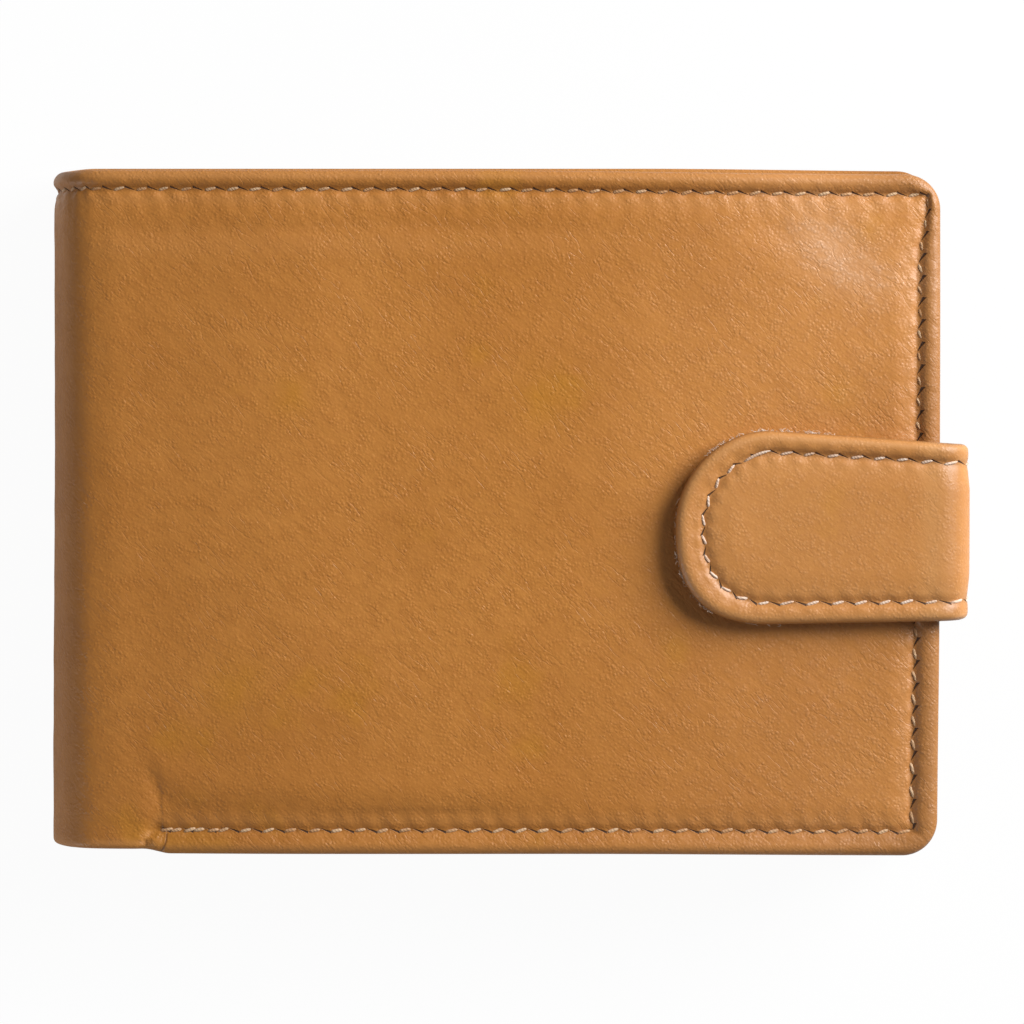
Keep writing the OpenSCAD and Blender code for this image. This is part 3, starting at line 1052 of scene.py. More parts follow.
@dataclass(frozen=True)
class RowSeam:
    """A seam of straight rows that run clockwise round a convex outline, seen from the outer side."""

    corners: tuple[tuple[float, float], ...]
    open_end: bool = True
    pitch: float = 3.03
    fade: float = 6.0

    @property
    def counts(self) -> list[int]:
        """How many stitches each row has."""
        points = np.array(self.corners)
        lengths = np.linalg.norm(np.diff(points, axis=0), axis=1)
        return [int(n) for n in np.maximum(1, np.round(lengths / self.pitch))]

    def measure(self, s: Array, y: Array) -> tuple[Array, Array]:
        """Place along the seam in stitches, and distance inwards from it, which is the least of any row's.

        Args:
            s: First coordinate on the piece.
            y: Second coordinate.

        Returns:
            The stitch number with its fraction, and the distance.
        """
        best_u, best_v, done = 0 * s, 0 * s + 1e3, 0
        for k, count in enumerate(self.counts):
            (s0, y0), (s1, y1) = self.corners[k], self.corners[k + 1]
            length = math.hypot(s1 - s0, y1 - y0)
            t = ((s - s0) * (s1 - s0) + (y - y0) * (y1 - y0)) / length**2
            v = ((s - s0) * (y1 - y0) - (y - y0) * (s1 - s0)) / length
            if self.open_end and k == len(self.counts) - 1:
                v = v + NO_SEAM * smooth(1.0, 1.0 + self.fade / length, t)
            nearer = v < best_v
            best_u, best_v = np.where(nearer, done + t * count, best_u), np.where(nearer, v, best_v)
            done += count
        return best_u, best_v

    def locate(self, u: Array, v: Array) -> tuple[Array, Array]:
        """The inverse of measure."""
        s, y, done = 0 * u, 0 * u, 0
        for k, count in enumerate(self.counts):
            (s0, y0), (s1, y1) = self.corners[k], self.corners[k + 1]
            length = math.hypot(s1 - s0, y1 - y0)
            t = (u - done) / count
            here = u >= done if k else np.ones(u.shape, bool)
            s = np.where(here, s0 + t * (s1 - s0) + v * (y1 - y0) / length, s)
            y = np.where(here, y0 + t * (y1 - y0) - v * (s1 - s0) / length, y)
            done += count
        return s, y


@dataclass(frozen=True)
class NoseSeam:
    """A seam along one side of a strap, round its nose and back along the other side."""

    begin: float
    nose: float
    centre: float
    half: float
    pitch: float = 3.05
    nose_pitch: float = 2.55

    @property
    def counts(self) -> tuple[int, int]:
        """How many stitches a side has, and the nose."""
        return round((self.nose - self.begin) / self.pitch), round(math.pi * self.half / self.nose_pitch)

    def measure(self, s: Array, y: Array) -> tuple[Array, Array]:
        """Place along the seam in stitches, and distance inwards from it."""
        side, turn = self.counts
        off = y - self.centre
        angle = np.arctan2(off, np.maximum(s - self.nose, 1e-9))
        share = (s - self.begin) / (self.nose - self.begin) * side
        straight = np.where(off < 0, share, 2 * side + turn - share)
        u = np.where(s > self.nose, side + (angle / math.pi + 0.5) * turn, straight)
        return u, self.half - np.where(s > self.nose, np.hypot(off, s - self.nose), np.abs(off))

    def locate(self, u: Array, v: Array) -> tuple[Array, Array]:
        """The inverse of measure."""
        side, turn = self.counts
        angle = ((u - side) / turn - 0.5) * math.pi
        bent = (u > side) & (u < side + turn)
        share = np.where(u < side, u, 2 * side + turn - u) / side
        r = self.half - v
        s = np.where(bent, self.nose + r * np.cos(angle), self.begin + share * (self.nose - self.begin))
        return s, self.centre + np.where(bent, r * np.sin(angle), np.where(u < side, -r, r))


# ---- The wallet's parts ----


@dataclass
class Half:
    """One half of the wallet: its cover, lining, note divider, inner panel, card slots and seams.

    The seam lies mouth_inset and bottom_inset in from the cover's edges and edge_insets in from the open
    edge, above and below. Its row along the mouth drops by mouth_drop on the way to the open edge.
    """

    at: Layout
    wardrobe: Wardrobe
    side: Side
    slots: int
    mouth_inset: float
    bottom_inset: float
    edge_insets: tuple[float, float]
    mouth_drop: float = 0.0
    spine_radius: float = 9.0
    squeeze_depth: float = 3.3
    squeeze_share: float = 0.74
    cover_roll: float = 0.75
    layer_roll: float = 0.3
    slot_roll: float = 0.45
    slot_corner: float = 1.2
    stains: tuple[tuple[float, float, float], ...] = (
        (6.4, 15.4, 4.5), (-27.4, 15.4, 2.6), (-34.7, -23.6, 4.0), (45.4, 16.0, 2.4),
    )

    def __post_init__(self) -> None:
        """Works out the bed, the seam's corners and the cover's outline."""
        at = self.at
        self.name, self.front = self.side.value, self.side is Side.FRONT
        self.bed = Bed(at.route, None if self.front else at.thick / 2)
        top, low_y = at.top - self.mouth_inset, at.bottom + self.bottom_inset
        right = [at.along(at.right - inset) for inset in self.edge_insets]
        slit = at.along(at.slots_left)
        self.seam = RowSeam(
            ((0.2, top), (right[0], top - self.mouth_drop), (right[1], low_y), (slit, low_y))
        )
        self.outline = Plan(
            0, at.along(at.right), at.bottom, at.top, at.corner,
            free_start=False, step_s=0.6, step_y=0.7, dense=(slit - 0.5, slit + 1.1),
        )

    # Shapes that the cover and every layer under it share

    def sag(self, s: Array, y: Array) -> Array:
        """How far the half stands out from its flat shape, taken along the route's normal.

        It rounds off the spine and its bends, falls towards the open edge and its top corner, each by a
        smooth step, and has soft hills. It is negative where the half has fallen in.
        """
        x = self.at.across(s)
        bulge = (0.75 + 0.4 * smooth(20.0, -40.0, y)) * smooth(8.0, 0.0, s)
        spine = 0.45 * self.rounded(s) - smooth(0.0, 14.0, s) * smooth(-24.0, -54.0, x)
        away = smooth(12.0, 58.0, x)
        corner = smooth(28.0, 58.0, x) * smooth(16.0, 46.0, y)
        hills = ripple(x + 300, y + 300, 24, 3) * smooth(3.0, 20.0, s)
        if self.front:
            return bulge + spine - 0.55 * away - 1.5 * corner + 0.16 * hills - 0.1
        rest = bulge + 0.5 * spine - 0.25 * away - 0.3 * corner + 0.08 * hills - 0.1
        return rest - 0.25 * smooth(0.0, 12.0, s)

    def rounded(self, s: Array) -> Array:
        """How far inside the route's bend a rounder bend lies, taken along the route's normal.

        From a point p measured from the rounder bend's centre, the distance along the normal n to its
        circle is the root of (p.n) squared less p squared plus the radius squared, less p.n.
        """
        at, radius = self.at, self.spine_radius
        x, z = at.route.at(s, 0 * s)
        out_x, out_z = at.route.at(s, 1 + 0 * s)
        px, pz = x - at.left - radius, z - at.thick + radius
        along = px * (out_x - x) + pz * (out_z - z)
        reach = np.sqrt(np.maximum(along**2 - px**2 - pz**2 + radius**2, 0)) - along
        return np.where((px < 0) & (pz > 0), reach, 0)

    def warp(self, s: Array, y: Array) -> tuple[Array, Array]:
        """The outline as handled: soft spine ends, a lower edge under the seam, a drawn-in open edge."""
        at = self.at
        x = at.across(s)
        top_end, low_end = smooth(at.top - 9, at.top, y), smooth(-30.0, at.bottom, y)
        y = y - (0.35 * smooth(12.0, 3.0, s) + 0.35 * smooth(4.0, 0.0, s)) * top_end
        y = y - 0.5 * low_end + 0.62 * smooth(at.slots_left + 1.2, at.slots_left - 2.4, x) * low_end
        if self.front:
            seam, d = at.right - 2.3, self.outline.inset(s, y)
            drawn = 1.15 * smooth(0.0, 2.5, d) * bell(np.minimum(x, seam), seam, 6.0)
            s = s + (0.27 - 0.2 * smooth(-12.0, at.bottom, y)) * smooth(10.0, at.right, x)
            s = s - drawn * smooth(at.top - 3.5, at.top - 12, y)
            y = y - 0.6 * smooth(-10.0, at.right, x) * smooth(20.0, at.top, y)
            y = y - 0.25 * smooth(10.0, at.right, x) * low_end
        else:
            y = y - 0.35 * smooth(20.0, at.right, x) * smooth(20.0, at.top, y)
        return s, y

    def squeezed(self, depth: float, s: Array, y: Array) -> Array:
        """A layer's depth under the cover's face, with the card slots squeezed where they are sewn."""
        base, share = self.squeeze_depth, self.squeeze_share
        if depth <= base:
            return depth + 0 * s
        near = np.minimum(self.at.along(self.at.right - 1) - s, y - self.at.bottom - 1)
        return base + (depth - base) * (share + (1 - share) * smooth(1.5, 11.0, near))

    # The cover

    def relief(self, s: Array, y: Array, d: Array) -> Array:
        """The cover's outer face: a rolled bead, the seam's groove, puckers and the padded face.

        The bead is a bump over the distance from the outline, the groove a dip over the distance from the
        seam, and the puckers a cosine of the stitch number that fades away from the seam.
        """
        u, v = self.seam.measure(s, y)
        x = self.at.across(s)
        seamed = smooth(NO_SEAM - 0.5, 4.0, v)
        bead = 0.42 * bell(d, 1.15, 0.95) * smooth(0.25, -0.25, v)
        groove = -0.34 * np.exp(-((v / np.where(v > 0, 0.62, 0.4)) ** 2))
        pull = 0.12 * pucker(u, PUFF_NEAR) * bell(v, 0.75, 0.65)
        pull += 0.05 * pucker(u + 0.12 * v, PUFF_FAR) * bell(v, 2.1, 1.3)
        pull += 0.05 * pucker(u, PUFF_FAR) * bell(v, -0.75, 0.5)
        face = 0.34 * smooth(0.1, 3.6, v)
        creases = 0.03 * ripple(x + 200 + 0.5 * y, 1.4 * y + 900, 4.0, 11) * smooth(1.0, 4.0, v)
        shape = -0.34 + bead + groove + pull * seamed + face + creases
        if self.front:
            shape = shape + self.front_marks(x, y)
        return shape + self.sag(s, y)

    def hem_run(self, x: Array) -> Array:
        """1 where the hem shows through the front, fading out at both its ends."""
        return smooth(-57.0, -50.0, x) * smooth(26.0, -8.0, x)

    def hem_level(self, x: Array, y: Array) -> Array:
        """Height measured from the hem's own line, which waves a little along the mouth."""
        return y + 0.35 * np.sin(x / 9)

    def front_marks(self, x: Array, y: Array) -> Array:
        """What handling left on the front: the hem's step, pulled corner and fold by the seam's start.

        Each mark is a height times smooth steps or bells in x and y, and the uneven ones are ripples drawn
        out along the mark.
        """
        run, level = self.hem_run(x), self.hem_level(x, y)
        hem = -0.14 * smooth(33.6, 37.8, level) - 0.14 * smooth(36.5, 37.5, level)
        hem = hem + 0.20 * smooth(38.0, 42.0, level) + 0.035 * bell(y, 34.6, 2.2)
        crinkle = 0.05 * ripple(x + 0.6 * y + 300, 1.3 * y + 400, 1.5, 17) * bell(y, 38.6, 2.3)
        at_left = self.at.slots_left
        low_run = smooth(-47.6, -44.4, x) * smooth(18.0, -6.0, x)
        edge = self.pad_edge(x)
        fall = -0.26 * smooth(edge + 2.4, edge - 0.4, y) + 0.07 * bell(y, edge + 3.2, 1.6)
        # Pulls that run down to the right from the top seam, near the open corner
        along, off = x - 0.55 * (45.2 - y), x + 0.9 * y
        pulls = 0.10 * ripple(off + 500, along * 0.22 + 60, 2.3, 21) * bell(x, 44, 9) * bell(y, 36.5, 5.5)
        dent = -0.30 * bell(x, 36.5, 5.0) * bell(y, 38.4, 2.8)
        # Short folds that fan out to the left from the bottom seam's first hole
        hole = self.seam.corners[-1][1]
        reach, turn = np.hypot(x - at_left - 0.5, y - hole), np.arctan2(y - hole, at_left + 0.5 - x)
        fan = 0.15 * ripple(turn * 4.5 + 40, reach * 0.25 + 60, 1.0, 23)
        fan = fan * bell(reach, 3.6, 2.6) * smooth(1.5, -0.5, x - at_left)
        return hem * run + crinkle * run + fall * low_run + pulls + dent + fan - 0.06 * self.slit(x, y)

    def pad_edge(self, x: Array) -> Array:
        """Where the padded face ends above the bottom seam: level, then up round the seam's first hole."""
        return -39.2 + 0.2 * np.sin(x / 7) + 4.9 * np.exp(-np.maximum(x + 46.4, 0) / 2.05)

    def slit(self, x: Array, y: Array) -> Array:
        """The short slit from the bottom seam's first hole to the edge, curving a little to the left."""
        hole = self.seam.corners[-1][1]
        middle = self.at.slots_left + 0.65 - 0.03 * np.maximum(hole - y, 0) ** 3
        return np.exp(-(((x - middle) / 0.11) ** 2)) * smooth(hole - 0.1, hole - 0.6, y)

    def marks(self, s: Array, y: Array, d: Array) -> Masks:
        """The cover's seam place, wear with a painted highlight band, painted shade, a painted sheen and
        stains, as sums of steps and bells.
        """
        u, v = self.seam.measure(s, y)
        x = self.at.across(s)
        open_side = smooth(40.0, 56.0, x)
        wear = (0.8 - 0.6 * open_side) * bell(d, 0.7, 0.6) + 0.35 * bell(v, 1.3, 0.8)
        # Painted shade: darker at the rolled edge's outline, along the seam's groove and towards the spine,
        # darkest at the spine's curve
        crease = 0.12 * smooth(0.35, 0.0, d) + 0.10 * smooth(3.0, 0.4, v) + 0.05 * smooth(-30.0, -56.0, x)
        crease = crease + 0.14 * smooth(-54.0, -58.5, x)
        # Painted shade on the bead outside the seam, heaviest towards the open edge
        crease = crease + (0.09 + 0.31 * open_side) * smooth(0.3, -0.6, v)
        polish, stain = 0 * s, 0 * s
        if self.front:
            run = self.hem_run(x)
            # Painted shade in the hem's crease line and in the short slit at the bottom seam's first hole
            crease = crease + 0.1 * bell(self.hem_level(x, y), 37.6, 0.8) * run + 0.95 * self.slit(x, y)
            low_run = smooth(-47.6, -45.4, x) * smooth(14.0, -4.0, x)
            edge = self.pad_edge(x)
            # Painted shade in the fold where the padded face ends above the bottom seam
            crease = crease + (0.12 * bell(y, edge, 1.2) + 0.26 * bell(y, edge, 0.22)) * low_run
            (corner_s, corner_y), (last_s, last_y) = self.seam.corners[1], self.seam.corners[-1]
            # Painted shade in the holes at the seam's top corner and at its last stitch
            crease = crease + 1.2 * smooth(0.36, 0.24, np.hypot(s - corner_s, y - corner_y))
            crease = crease + 0.75 * smooth(0.5, 0.34, np.hypot(s - last_s - 0.1, y - last_y))
            # A painted highlight band under the hem's step
            wear = wear + 0.22 * bell(y, 35.4, 1.6) * run
            # Painted sheen: a pale highlight near the open corner, and a faint one growing towards the open
            # edge
            down, up = (x - 44.0) - (y - 35.0), (x - 44.0) + (y - 35.0)
            polish = 0.85 * bell(down, 0, 9.5) * bell(up, 0, 5.5) + 0.35 * bell(x, 52, 5) * bell(y, 31, 3.0)
            polish = polish + 0.22 * smooth(0.0, 50.0, x)
            for spot_x, spot_y, size in self.stains:
                stain = stain + bell(np.hypot(x - spot_x, y - spot_y), 0, size)
            stain = stain * (0.65 + 0.35 * ripple(x + 70, y + 90, 1.6, 29))
        sewn = np.where(u > sum(self.seam.counts), -NO_SEAM, v)
        masks = {"stitch_u": u, "stitch_v": sewn, "wear": wear, "crease": crease}
        return masks | {"polish": polish, "stain": stain}

    def build_cover(self) -> None:
        """Makes the cover's leather and the stitches along its edges."""

        def inner(s: Array, y: Array, d: Array) -> Array:
            """The cover's inner face: its thickness under the sagging face."""
            return -self.at.cover + self.sag(s, y)

        def height(s: Array, y: Array) -> Array:
            """The cover's face under a stitch, clear of the rolled edge."""
            return self.relief(s, y, 3 + 0 * s)

        piece = shell(
            f"{self.name}_outer_leather", self.bed, self.outline, self.relief, inner,
            self.cover_roll, self.marks, self.warp,
        )
        self.finish_layer(piece, Finish.COVER, "cover_leather", ["cover"])
        numbers = np.arange(sum(self.seam.counts), dtype=float)
        if self.front:
            # The seam's last three stitches are sewn twice
            numbers = np.concatenate([numbers, numbers[-3:] + 0.42])
        thread = Thread().stitches(
            f"{self.name}_cover_thread", self.bed, self.seam.locate, numbers, height, 5, self.warp
        )
        self.finish_layer(thread, Finish.BEIGE, "thread", ["stitching"])

    # What lies inside

    def finish_layer(self, piece: Piece, finish: Finish, slot: str, nodes: list[str]) -> None:
        """Dresses a piece that runs round the spine, bakes its transform and hides the parts it stands for.
        """
        self.wardrobe.dress(piece, finish, slot)
        if self.front:
            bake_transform(piece)
        else:
            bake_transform(piece)
        extra = [f"spine_{node}" for node in nodes] if self.front else []
        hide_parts(*[f"{self.name}_{node}" for node in nodes], *extra)

    def notched(self, s: Array, y: Array) -> tuple[Array, Array]:
        """The outline of a layer that leaves room for the strap's end between it and the cover."""
        if not self.front:
            gap = low("strap_anchor"), high("strap_anchor")
            room = smooth(gap[0][1] - 1.2, gap[0][1] - 0.2, y) * smooth(gap[1][1] + 1.2, gap[1][1] + 0.2, y)
            stop = self.at.along(gap[0][0] - 0.3)
            reach = self.at.along(high("back_lining")[0])
            s = s - room * smooth(stop - 8, reach, s) * (reach - stop)
        return self.warp(s, y)

    def layer(self, node: str, label: str, finish: Finish, slot: str, hem: float) -> Piece:
        """A layer that runs from the spine to the open edge, at the place of its node.

        Args:
            node: The node's name after the half's.
            label: The new piece's name after the half's.
            finish: Its finish.
            slot: A material slot's name; when given, the piece's name is logged.
            hem: How much the top edge is thickened by its hem.

        Returns:
            The object.
        """
        at = self.at
        lowest, highest = low(f"back_{node}"), high(f"back_{node}")
        plan = Plan(
            0, at.along(highest[0]), lowest[1], high(f"{self.name}_{node}")[1], at.inner_corner,
            free_start=False, step_s=0.9, step_y=1.2,
        )

        def rise(y: Array) -> Array:
            """The hem's extra thickness."""
            return hem * smooth(plan.y1 - 7.5, plan.y1 - 6.6, y)

        def lip(s: Array, y: Array, d: Array) -> Array:
            """The layer's outer face."""
            return self.sag(s, y) - lowest[2] + 0 * d

        def inner(s: Array, y: Array, d: Array) -> Array:
            """The layer's inner face, with its hem, the line pressed into it and soft waves."""
            crease = 0.1 * bell(y, plan.y1 - 1.8, 0.3) if hem else 0
            wave = 0.05 * ripple(s + 90, y + 190, 9.0, 8)
            return self.sag(s, y) - self.squeezed(highest[2], s, y) - rise(y) + crease + wave

        def masks(s: Array, y: Array, d: Array) -> Masks:
            """Worn edges and painted shade in the crease along the hem."""
            crease = 0.5 * bell(y, plan.y1 - 1.8, 0.28) if hem else 0 * y
            return {"wear": 0.7 * smooth(1.0, 0.1, d), "crease": crease + 0 * s}

        piece = shell(
            f"{self.name}_{label}", self.bed, plan, lip, inner, self.layer_roll, masks, self.notched
        )
        self.finish_layer(piece, finish, slot, [node])
        return piece

    def build_layers(self) -> None:
        """Makes the lining, the note divider and the inner panel."""
        for node, label in (("lining", "lining_cloth"), ("note_divider", "note_cloth")):
            piece = self.layer(node, label, Finish.LINING, "cloth", 0.0)
            width = self.at.along(high("back_lining")[0])
        self.layer("inner_panel", "inside_leather", Finish.INNER, "inner_leather", 0.25)

    def build_slots(self) -> None:
        """Makes the card slots, each a leather pocket front with a rolled and creased mouth."""
        at = self.at
        for number in range(1, self.slots + 1):
            node = f"card_slot_{number}"
            box_low, box_high = low(f"back_{node}"), high(f"back_{node}")
            plan = Plan(
                at.along(box_low[0]), at.along(box_high[0]), box_low[1], box_high[1], self.slot_corner,
                step_s=0.9, step_y=1.2,
            )

            def outer(s: Array, y: Array, d: Array) -> Array:
                """The pocket front's hidden face."""
                return self.sag(s, y) - self.squeezed(box_low[2], s, y) - 0.02

            def inner(s: Array, y: Array, d: Array) -> Array:
                """The pocket front's face: creased at the mouth, and a little sunk below it."""
                below = plan.y1 - y
                mouth = 0.14 * bell(below, 1.9, 0.32) - 0.08 * bell(below, 0.9, 0.6)
                sink = 0.16 * smooth(2.5, 9.5, below) * smooth(0.0, 9.0, s - plan.s0)
                wave = 0.05 * ripple(s + 40 * number, y + 77, 11.0, 12)
                # Under the next slot the leather lies flat
                open_share = 1.0 if number == self.slots else smooth(12.0, 9.8, below)
                shape = (mouth + sink + wave * 0.5) * open_share
                return self.sag(s, y) - self.squeezed(box_high[2], s, y) + 0.03 + shape

            piece = shell(
                f"{self.name}_card_pocket_{number}", self.bed, plan, outer, inner,
                self.slot_roll, mouth_masks(plan, 0.55), self.warp,
            )
            self.wardrobe.dress(piece, Finish.INNER, "inner_leather")
            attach(piece, f"{self.name}_half")
            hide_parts(f"{self.name}_{node}")

    def build_inside_thread(self) -> None:
        """Makes the stitches that show along the card slots' open and bottom edges."""
        at = self.at
        tops = [high(f"back_card_slot_{k}")[1] for k in range(1, self.slots + 1)]
        panel = high("back_inner_panel")[2]

        def height(s: Array, y: Array) -> Array:
            """The innermost leather's height inwards: the panel's, and 1 more for each slot over it."""
            covered = sum((y < top).astype(float) for top in tops) * (s > at.along(at.slots_left))
            here = [covered == k for k in range(self.slots + 1)]
            levels = [self.squeezed(panel + k, s, y) for k in range(self.slots + 1)]
            return np.select(here, levels, levels[0]) - self.sag(s, y) + 0.06

        # The stitches begin three below the open edge's upper corner
        numbers = np.arange(self.seam.counts[0] + 3, sum(self.seam.counts), dtype=float)
        thread = Thread(lift=0.12).stitches(
            f"{self.name}_inside_thread", self.bed, self.seam.locate, numbers, height, 9, self.warp,
            outward=-1,
        )
        self.wardrobe.dress(thread, Finish.BEIGE, "thread")
        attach(thread, f"{self.name}_half")

    def build(self) -> None:
        """Makes the whole half."""
        self.build_cover()
        self.build_layers()
        self.build_slots()
        self.build_inside_thread()


@dataclass
class Strap:
    """The closing strap: two leathers turned at the edge and sewn all round, wrapped over the open edge.

    Its seam lies seam_inset in from the edges, starts seam_start into the lower bend and turns seam_stop
    before the nose.
    """

    wardrobe: Wardrobe
    seam_inset: float = 2.75
    seam_start: float = 0.5
    seam_stop: float = 0.9
    backing_inset: float = 1.35
    outer_roll: float = 0.85
    backing_roll: float = 0.3
    edge_lift: float = 0.25
    nose_power: float = 2.5
    nose_lift: float = 0.6
    fibres: int = 130
    fibre_radius: float = 0.042
    fibre_reach: float = 0.30
    thread: Thread = Thread(radius=0.175, last=0.66, lift=0.17)

    def __post_init__(self) -> None:
        """Works out the strap's route and seams from its anchor, bends and tip."""
        anchor, wrap, tip = low("strap_anchor"), high("strap_wrap_outer"), low("strap_tip_outer")
        self.leather = low("strap_wrap_inner")[2] - low("strap_wrap_outer")[2]
        self.edge = edge = low("strap_wrap_outer")[0]
        self.radius = radius = wrap[0] - self.leather - edge
        self.z_low, self.z_high = anchor[2] + self.leather, wrap[2] - self.leather
        quarter = radius * math.pi / 2
        upright = self.z_high - self.z_low - 2 * radius
        self.lengths = (edge - anchor[0], quarter, upright, quarter, edge - tip[0])
        turns = (0, math.pi / 2, 0, math.pi / 2, 0)
        self.bed = Bed(Route((anchor[0], self.z_low), 0.0, tuple(zip(self.lengths, turns)), outward=-1))
        self.split = sum(self.lengths[:2]) + self.lengths[2] / 2
        self.upper_bend = sum(self.lengths[:4])
        self.total = sum(self.lengths)
        tip_top, anchor_top = high("strap_tip_outer")[1], high("strap_anchor")[1]
        self.half, self.centre = (tip_top - tip[1]) / 2, (tip_top + tip[1]) / 2
        self.slim, self.slim_centre = (anchor_top - anchor[1]) / 2, (anchor_top + anchor[1]) / 2
        self.snap = (low("snap_socket") + high("snap_socket"))[:2] / 2
        begin, nose = self.lengths[0], self.total - self.half
        self.edge_line = NoseSeam(begin, nose, self.centre, self.half, 1.0, 1.0)
        self.seam = NoseSeam(
            begin + self.seam_start, nose - self.seam_stop, self.centre, self.half - self.seam_inset
        )

    def warp(self, s: Array, y: Array) -> tuple[Array, Array]:
        """The strap widens from its bend to its nose, and its middle line shifts with it."""
        grow = np.clip((s - self.split) / (self.total - self.half - self.split), 0, 1) ** 0.85
        half = self.slim + (self.half - self.slim) * grow
        centre = self.slim_centre + (self.centre - self.slim_centre) * grow
        lift = self.edge_lift * grow
        across = centre + lift + (y - self.centre) * (half + lift + 0.2 * (1 - grow)) / self.half
        # The nose's lower half is fuller than a half circle: the root of order p of 1 less the p-th power
        share, power = np.clip((self.centre - y) / self.half, 0, 1), self.nose_power
        fuller = self.half * ((1 - share**power) ** (1 / power) - np.sqrt(1 - share**2))
        return s + fuller * smooth(self.total - 1.9 * self.half, self.total - 0.5 * self.half, s), across

    def lay(self, s: Array, y: Array) -> Array:
        """The strap's soft waves and its lifted nose, which its leathers and its stitches share."""
        tip = smooth(self.upper_bend, self.total, s)
        lifted = self.nose_lift * smooth(self.total - 13.0, self.total, s)
        return 0.10 * ripple(s + 30, y + 40, 12.0, 31) * tip + lifted

    def outer_face(self, s: Array, y: Array, d: Array) -> Array:
        """The outer leather's face: a rolled border, the seam's groove with puckers, and a soft crown."""
        u, v = self.seam.measure(s, y)
        flat = 0.3 + 0.7 * smooth(sum(self.lengths[:3]), self.upper_bend + 2, s)
        border = 0.30 * bell(d, 1.25, 1.0) * (v < 0)
        groove = -0.38 * np.exp(-((v / np.where(v > 0, 0.7, 0.42)) ** 2))
        pull = 0.08 * pucker(u, PUFF_NEAR) * bell(v, 0.85, 0.7)
        pull += 0.06 * pucker(u, PUFF_FAR) * bell(v, -0.8, 0.6)
        crown = 0.30 * smooth(0.1, 4.2, v)
        swell = 0.6 * bell(s, self.split, 8.0)
        return self.leather - 0.16 + (border + groove + pull) * flat + crown + swell + self.lay(s, y)

    def masks(self, s: Array, y: Array, d: Array) -> Masks:
        """The strap's seam place, wear, painted shade and a painted sheen."""
        u, v = self.seam.measure(s, y)
        wear = 0.9 * bell(d, 0.75, 0.55) + 0.3 * bell(v, 1.4, 0.8)
        # Painted shade: darker at the outline, along the seam's groove and across the middle of the wrap
        crease = 0.6 * smooth(0.3, 0.0, d) + 0.10 * smooth(2.6, 0.4, v) + 0.42 * bell(s, self.split, 5.5)
        wear = wear + 0.8 * bell(s, self.upper_bend + 0.8, 1.8)
        # Painted shade just inside the upper bend
        crease = crease + 0.30 * bell(s, self.upper_bend - 1.3, 1.1)
        # A painted sheen over the whole strap
        return {"stitch_u": u, "stitch_v": v, "wear": wear, "crease": crease, "polish": 0.2 + 0 * s}

    def plan(self, start: float, stop: float, inset: float) -> Plan:
        """A stretch of the strap's outline, set in from its edges; the tip's nose is round."""
        tip = stop >= self.total
        return Plan(
            start, stop - (inset if tip else 0), self.centre - self.half + inset,
            self.centre + self.half - inset, self.half - inset if tip else 0.0,
            free_start=False, step_s=0.5, step_y=0.7, free_end=tip,
        )

    def outer_back(self, s: Array, y: Array, d: Array) -> Array:
        """The outer leather's hidden face, which comes down round the inner leather's edge."""
        return 0.02 - 0.72 * smooth(1.9, 1.2, d) + self.lay(s, y)

    def inner_front(self, s: Array, y: Array, d: Array) -> Array:
        """The inner leather's hidden face."""
        return -0.03 + self.lay(s, y) + 0 * d

    def inner_back(self, s: Array, y: Array, d: Array) -> Array:
        """The inner leather's face towards the wallet, cut away round the snap's socket."""
        x = self.edge - (s - self.upper_bend)
        r = np.hypot(x - self.snap[0], y - self.snap[1])
        room = 0.28 * smooth(4.9, 4.2, r) + 0.5 * smooth(3.0, 2.2, r)
        room = room * (s > self.upper_bend)
        return -self.leather + 0.12 + 0.12 * bell(d, 1.1, 0.4) + room + self.lay(s, y)

    def backing_masks(self, s: Array, y: Array, d: Array) -> Masks:
        """The inner leather's worn edge and painted shade in the crease beside it."""
        return {"wear": 0.6 * smooth(1.0, 0.1, d), "crease": 0.35 * bell(d, 1.1, 0.35)}

    def build(self) -> None:
        """Makes both leathers and the seam, each split in the middle of its wrap."""
        for name, start, stop in (("wrap", 0.0, self.split), ("tip", self.split, self.total)):
            outer = shell(
                f"strap_{name}_leather", self.bed, self.plan(start, stop, 0),
                self.outer_face, self.outer_back, self.outer_roll, self.masks, self.warp,
            )
            inner = shell(
                f"strap_{name}_backing", self.bed, self.plan(start, stop, self.backing_inset),
                self.inner_front, self.inner_back, self.backing_roll, self.backing_masks, self.warp,
            )
            thread = self.stitches(f"strap_{name}_thread", start, stop)
            low_nodes = ("strap_anchor",) if name == "wrap" else ()
            rows = (
                (outer, Finish.STRAP, "strap_leather", (f"strap_{name}_outer", *low_nodes)),
                (inner, Finish.INNER, "strap_leather", (f"strap_{name}_inner",)),
                (thread, Finish.CREAM, "thread", (f"strap_{name}_stitching",)),
            )
            for piece, finish, slot, nodes in rows:
                self.wardrobe.dress(piece, finish, slot)
                self.bend(piece, name)
                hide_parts(*nodes)
        self.build_fibres()

    def stitches(self, name: str, start: float, stop: float) -> Piece:
        """The stitches whose middles lie between two places along the strap."""

        def height(s: Array, y: Array) -> Array:
            """The outer leather's face under a stitch, clear of the rolled edge."""
            return self.outer_face(s, y, 3 + 0 * s)

        side, turn = self.seam.counts
        numbers = np.arange(2 * side + turn, dtype=float)
        place, _ = self.seam.locate(numbers + 0.4, 0 * numbers)
        # One stitch is left out where the nose ends, and the next one is as long as two
        long_one = side + turn - 1
        chosen = numbers[(place >= start) & (place < stop) & (numbers != long_one - 1)]
        return self.thread.stitches(
            name, self.bed, self.seam.locate, chosen, height, 6, self.warp,
            stretch=np.where(chosen == long_one, 1.0, 0.0),
        )

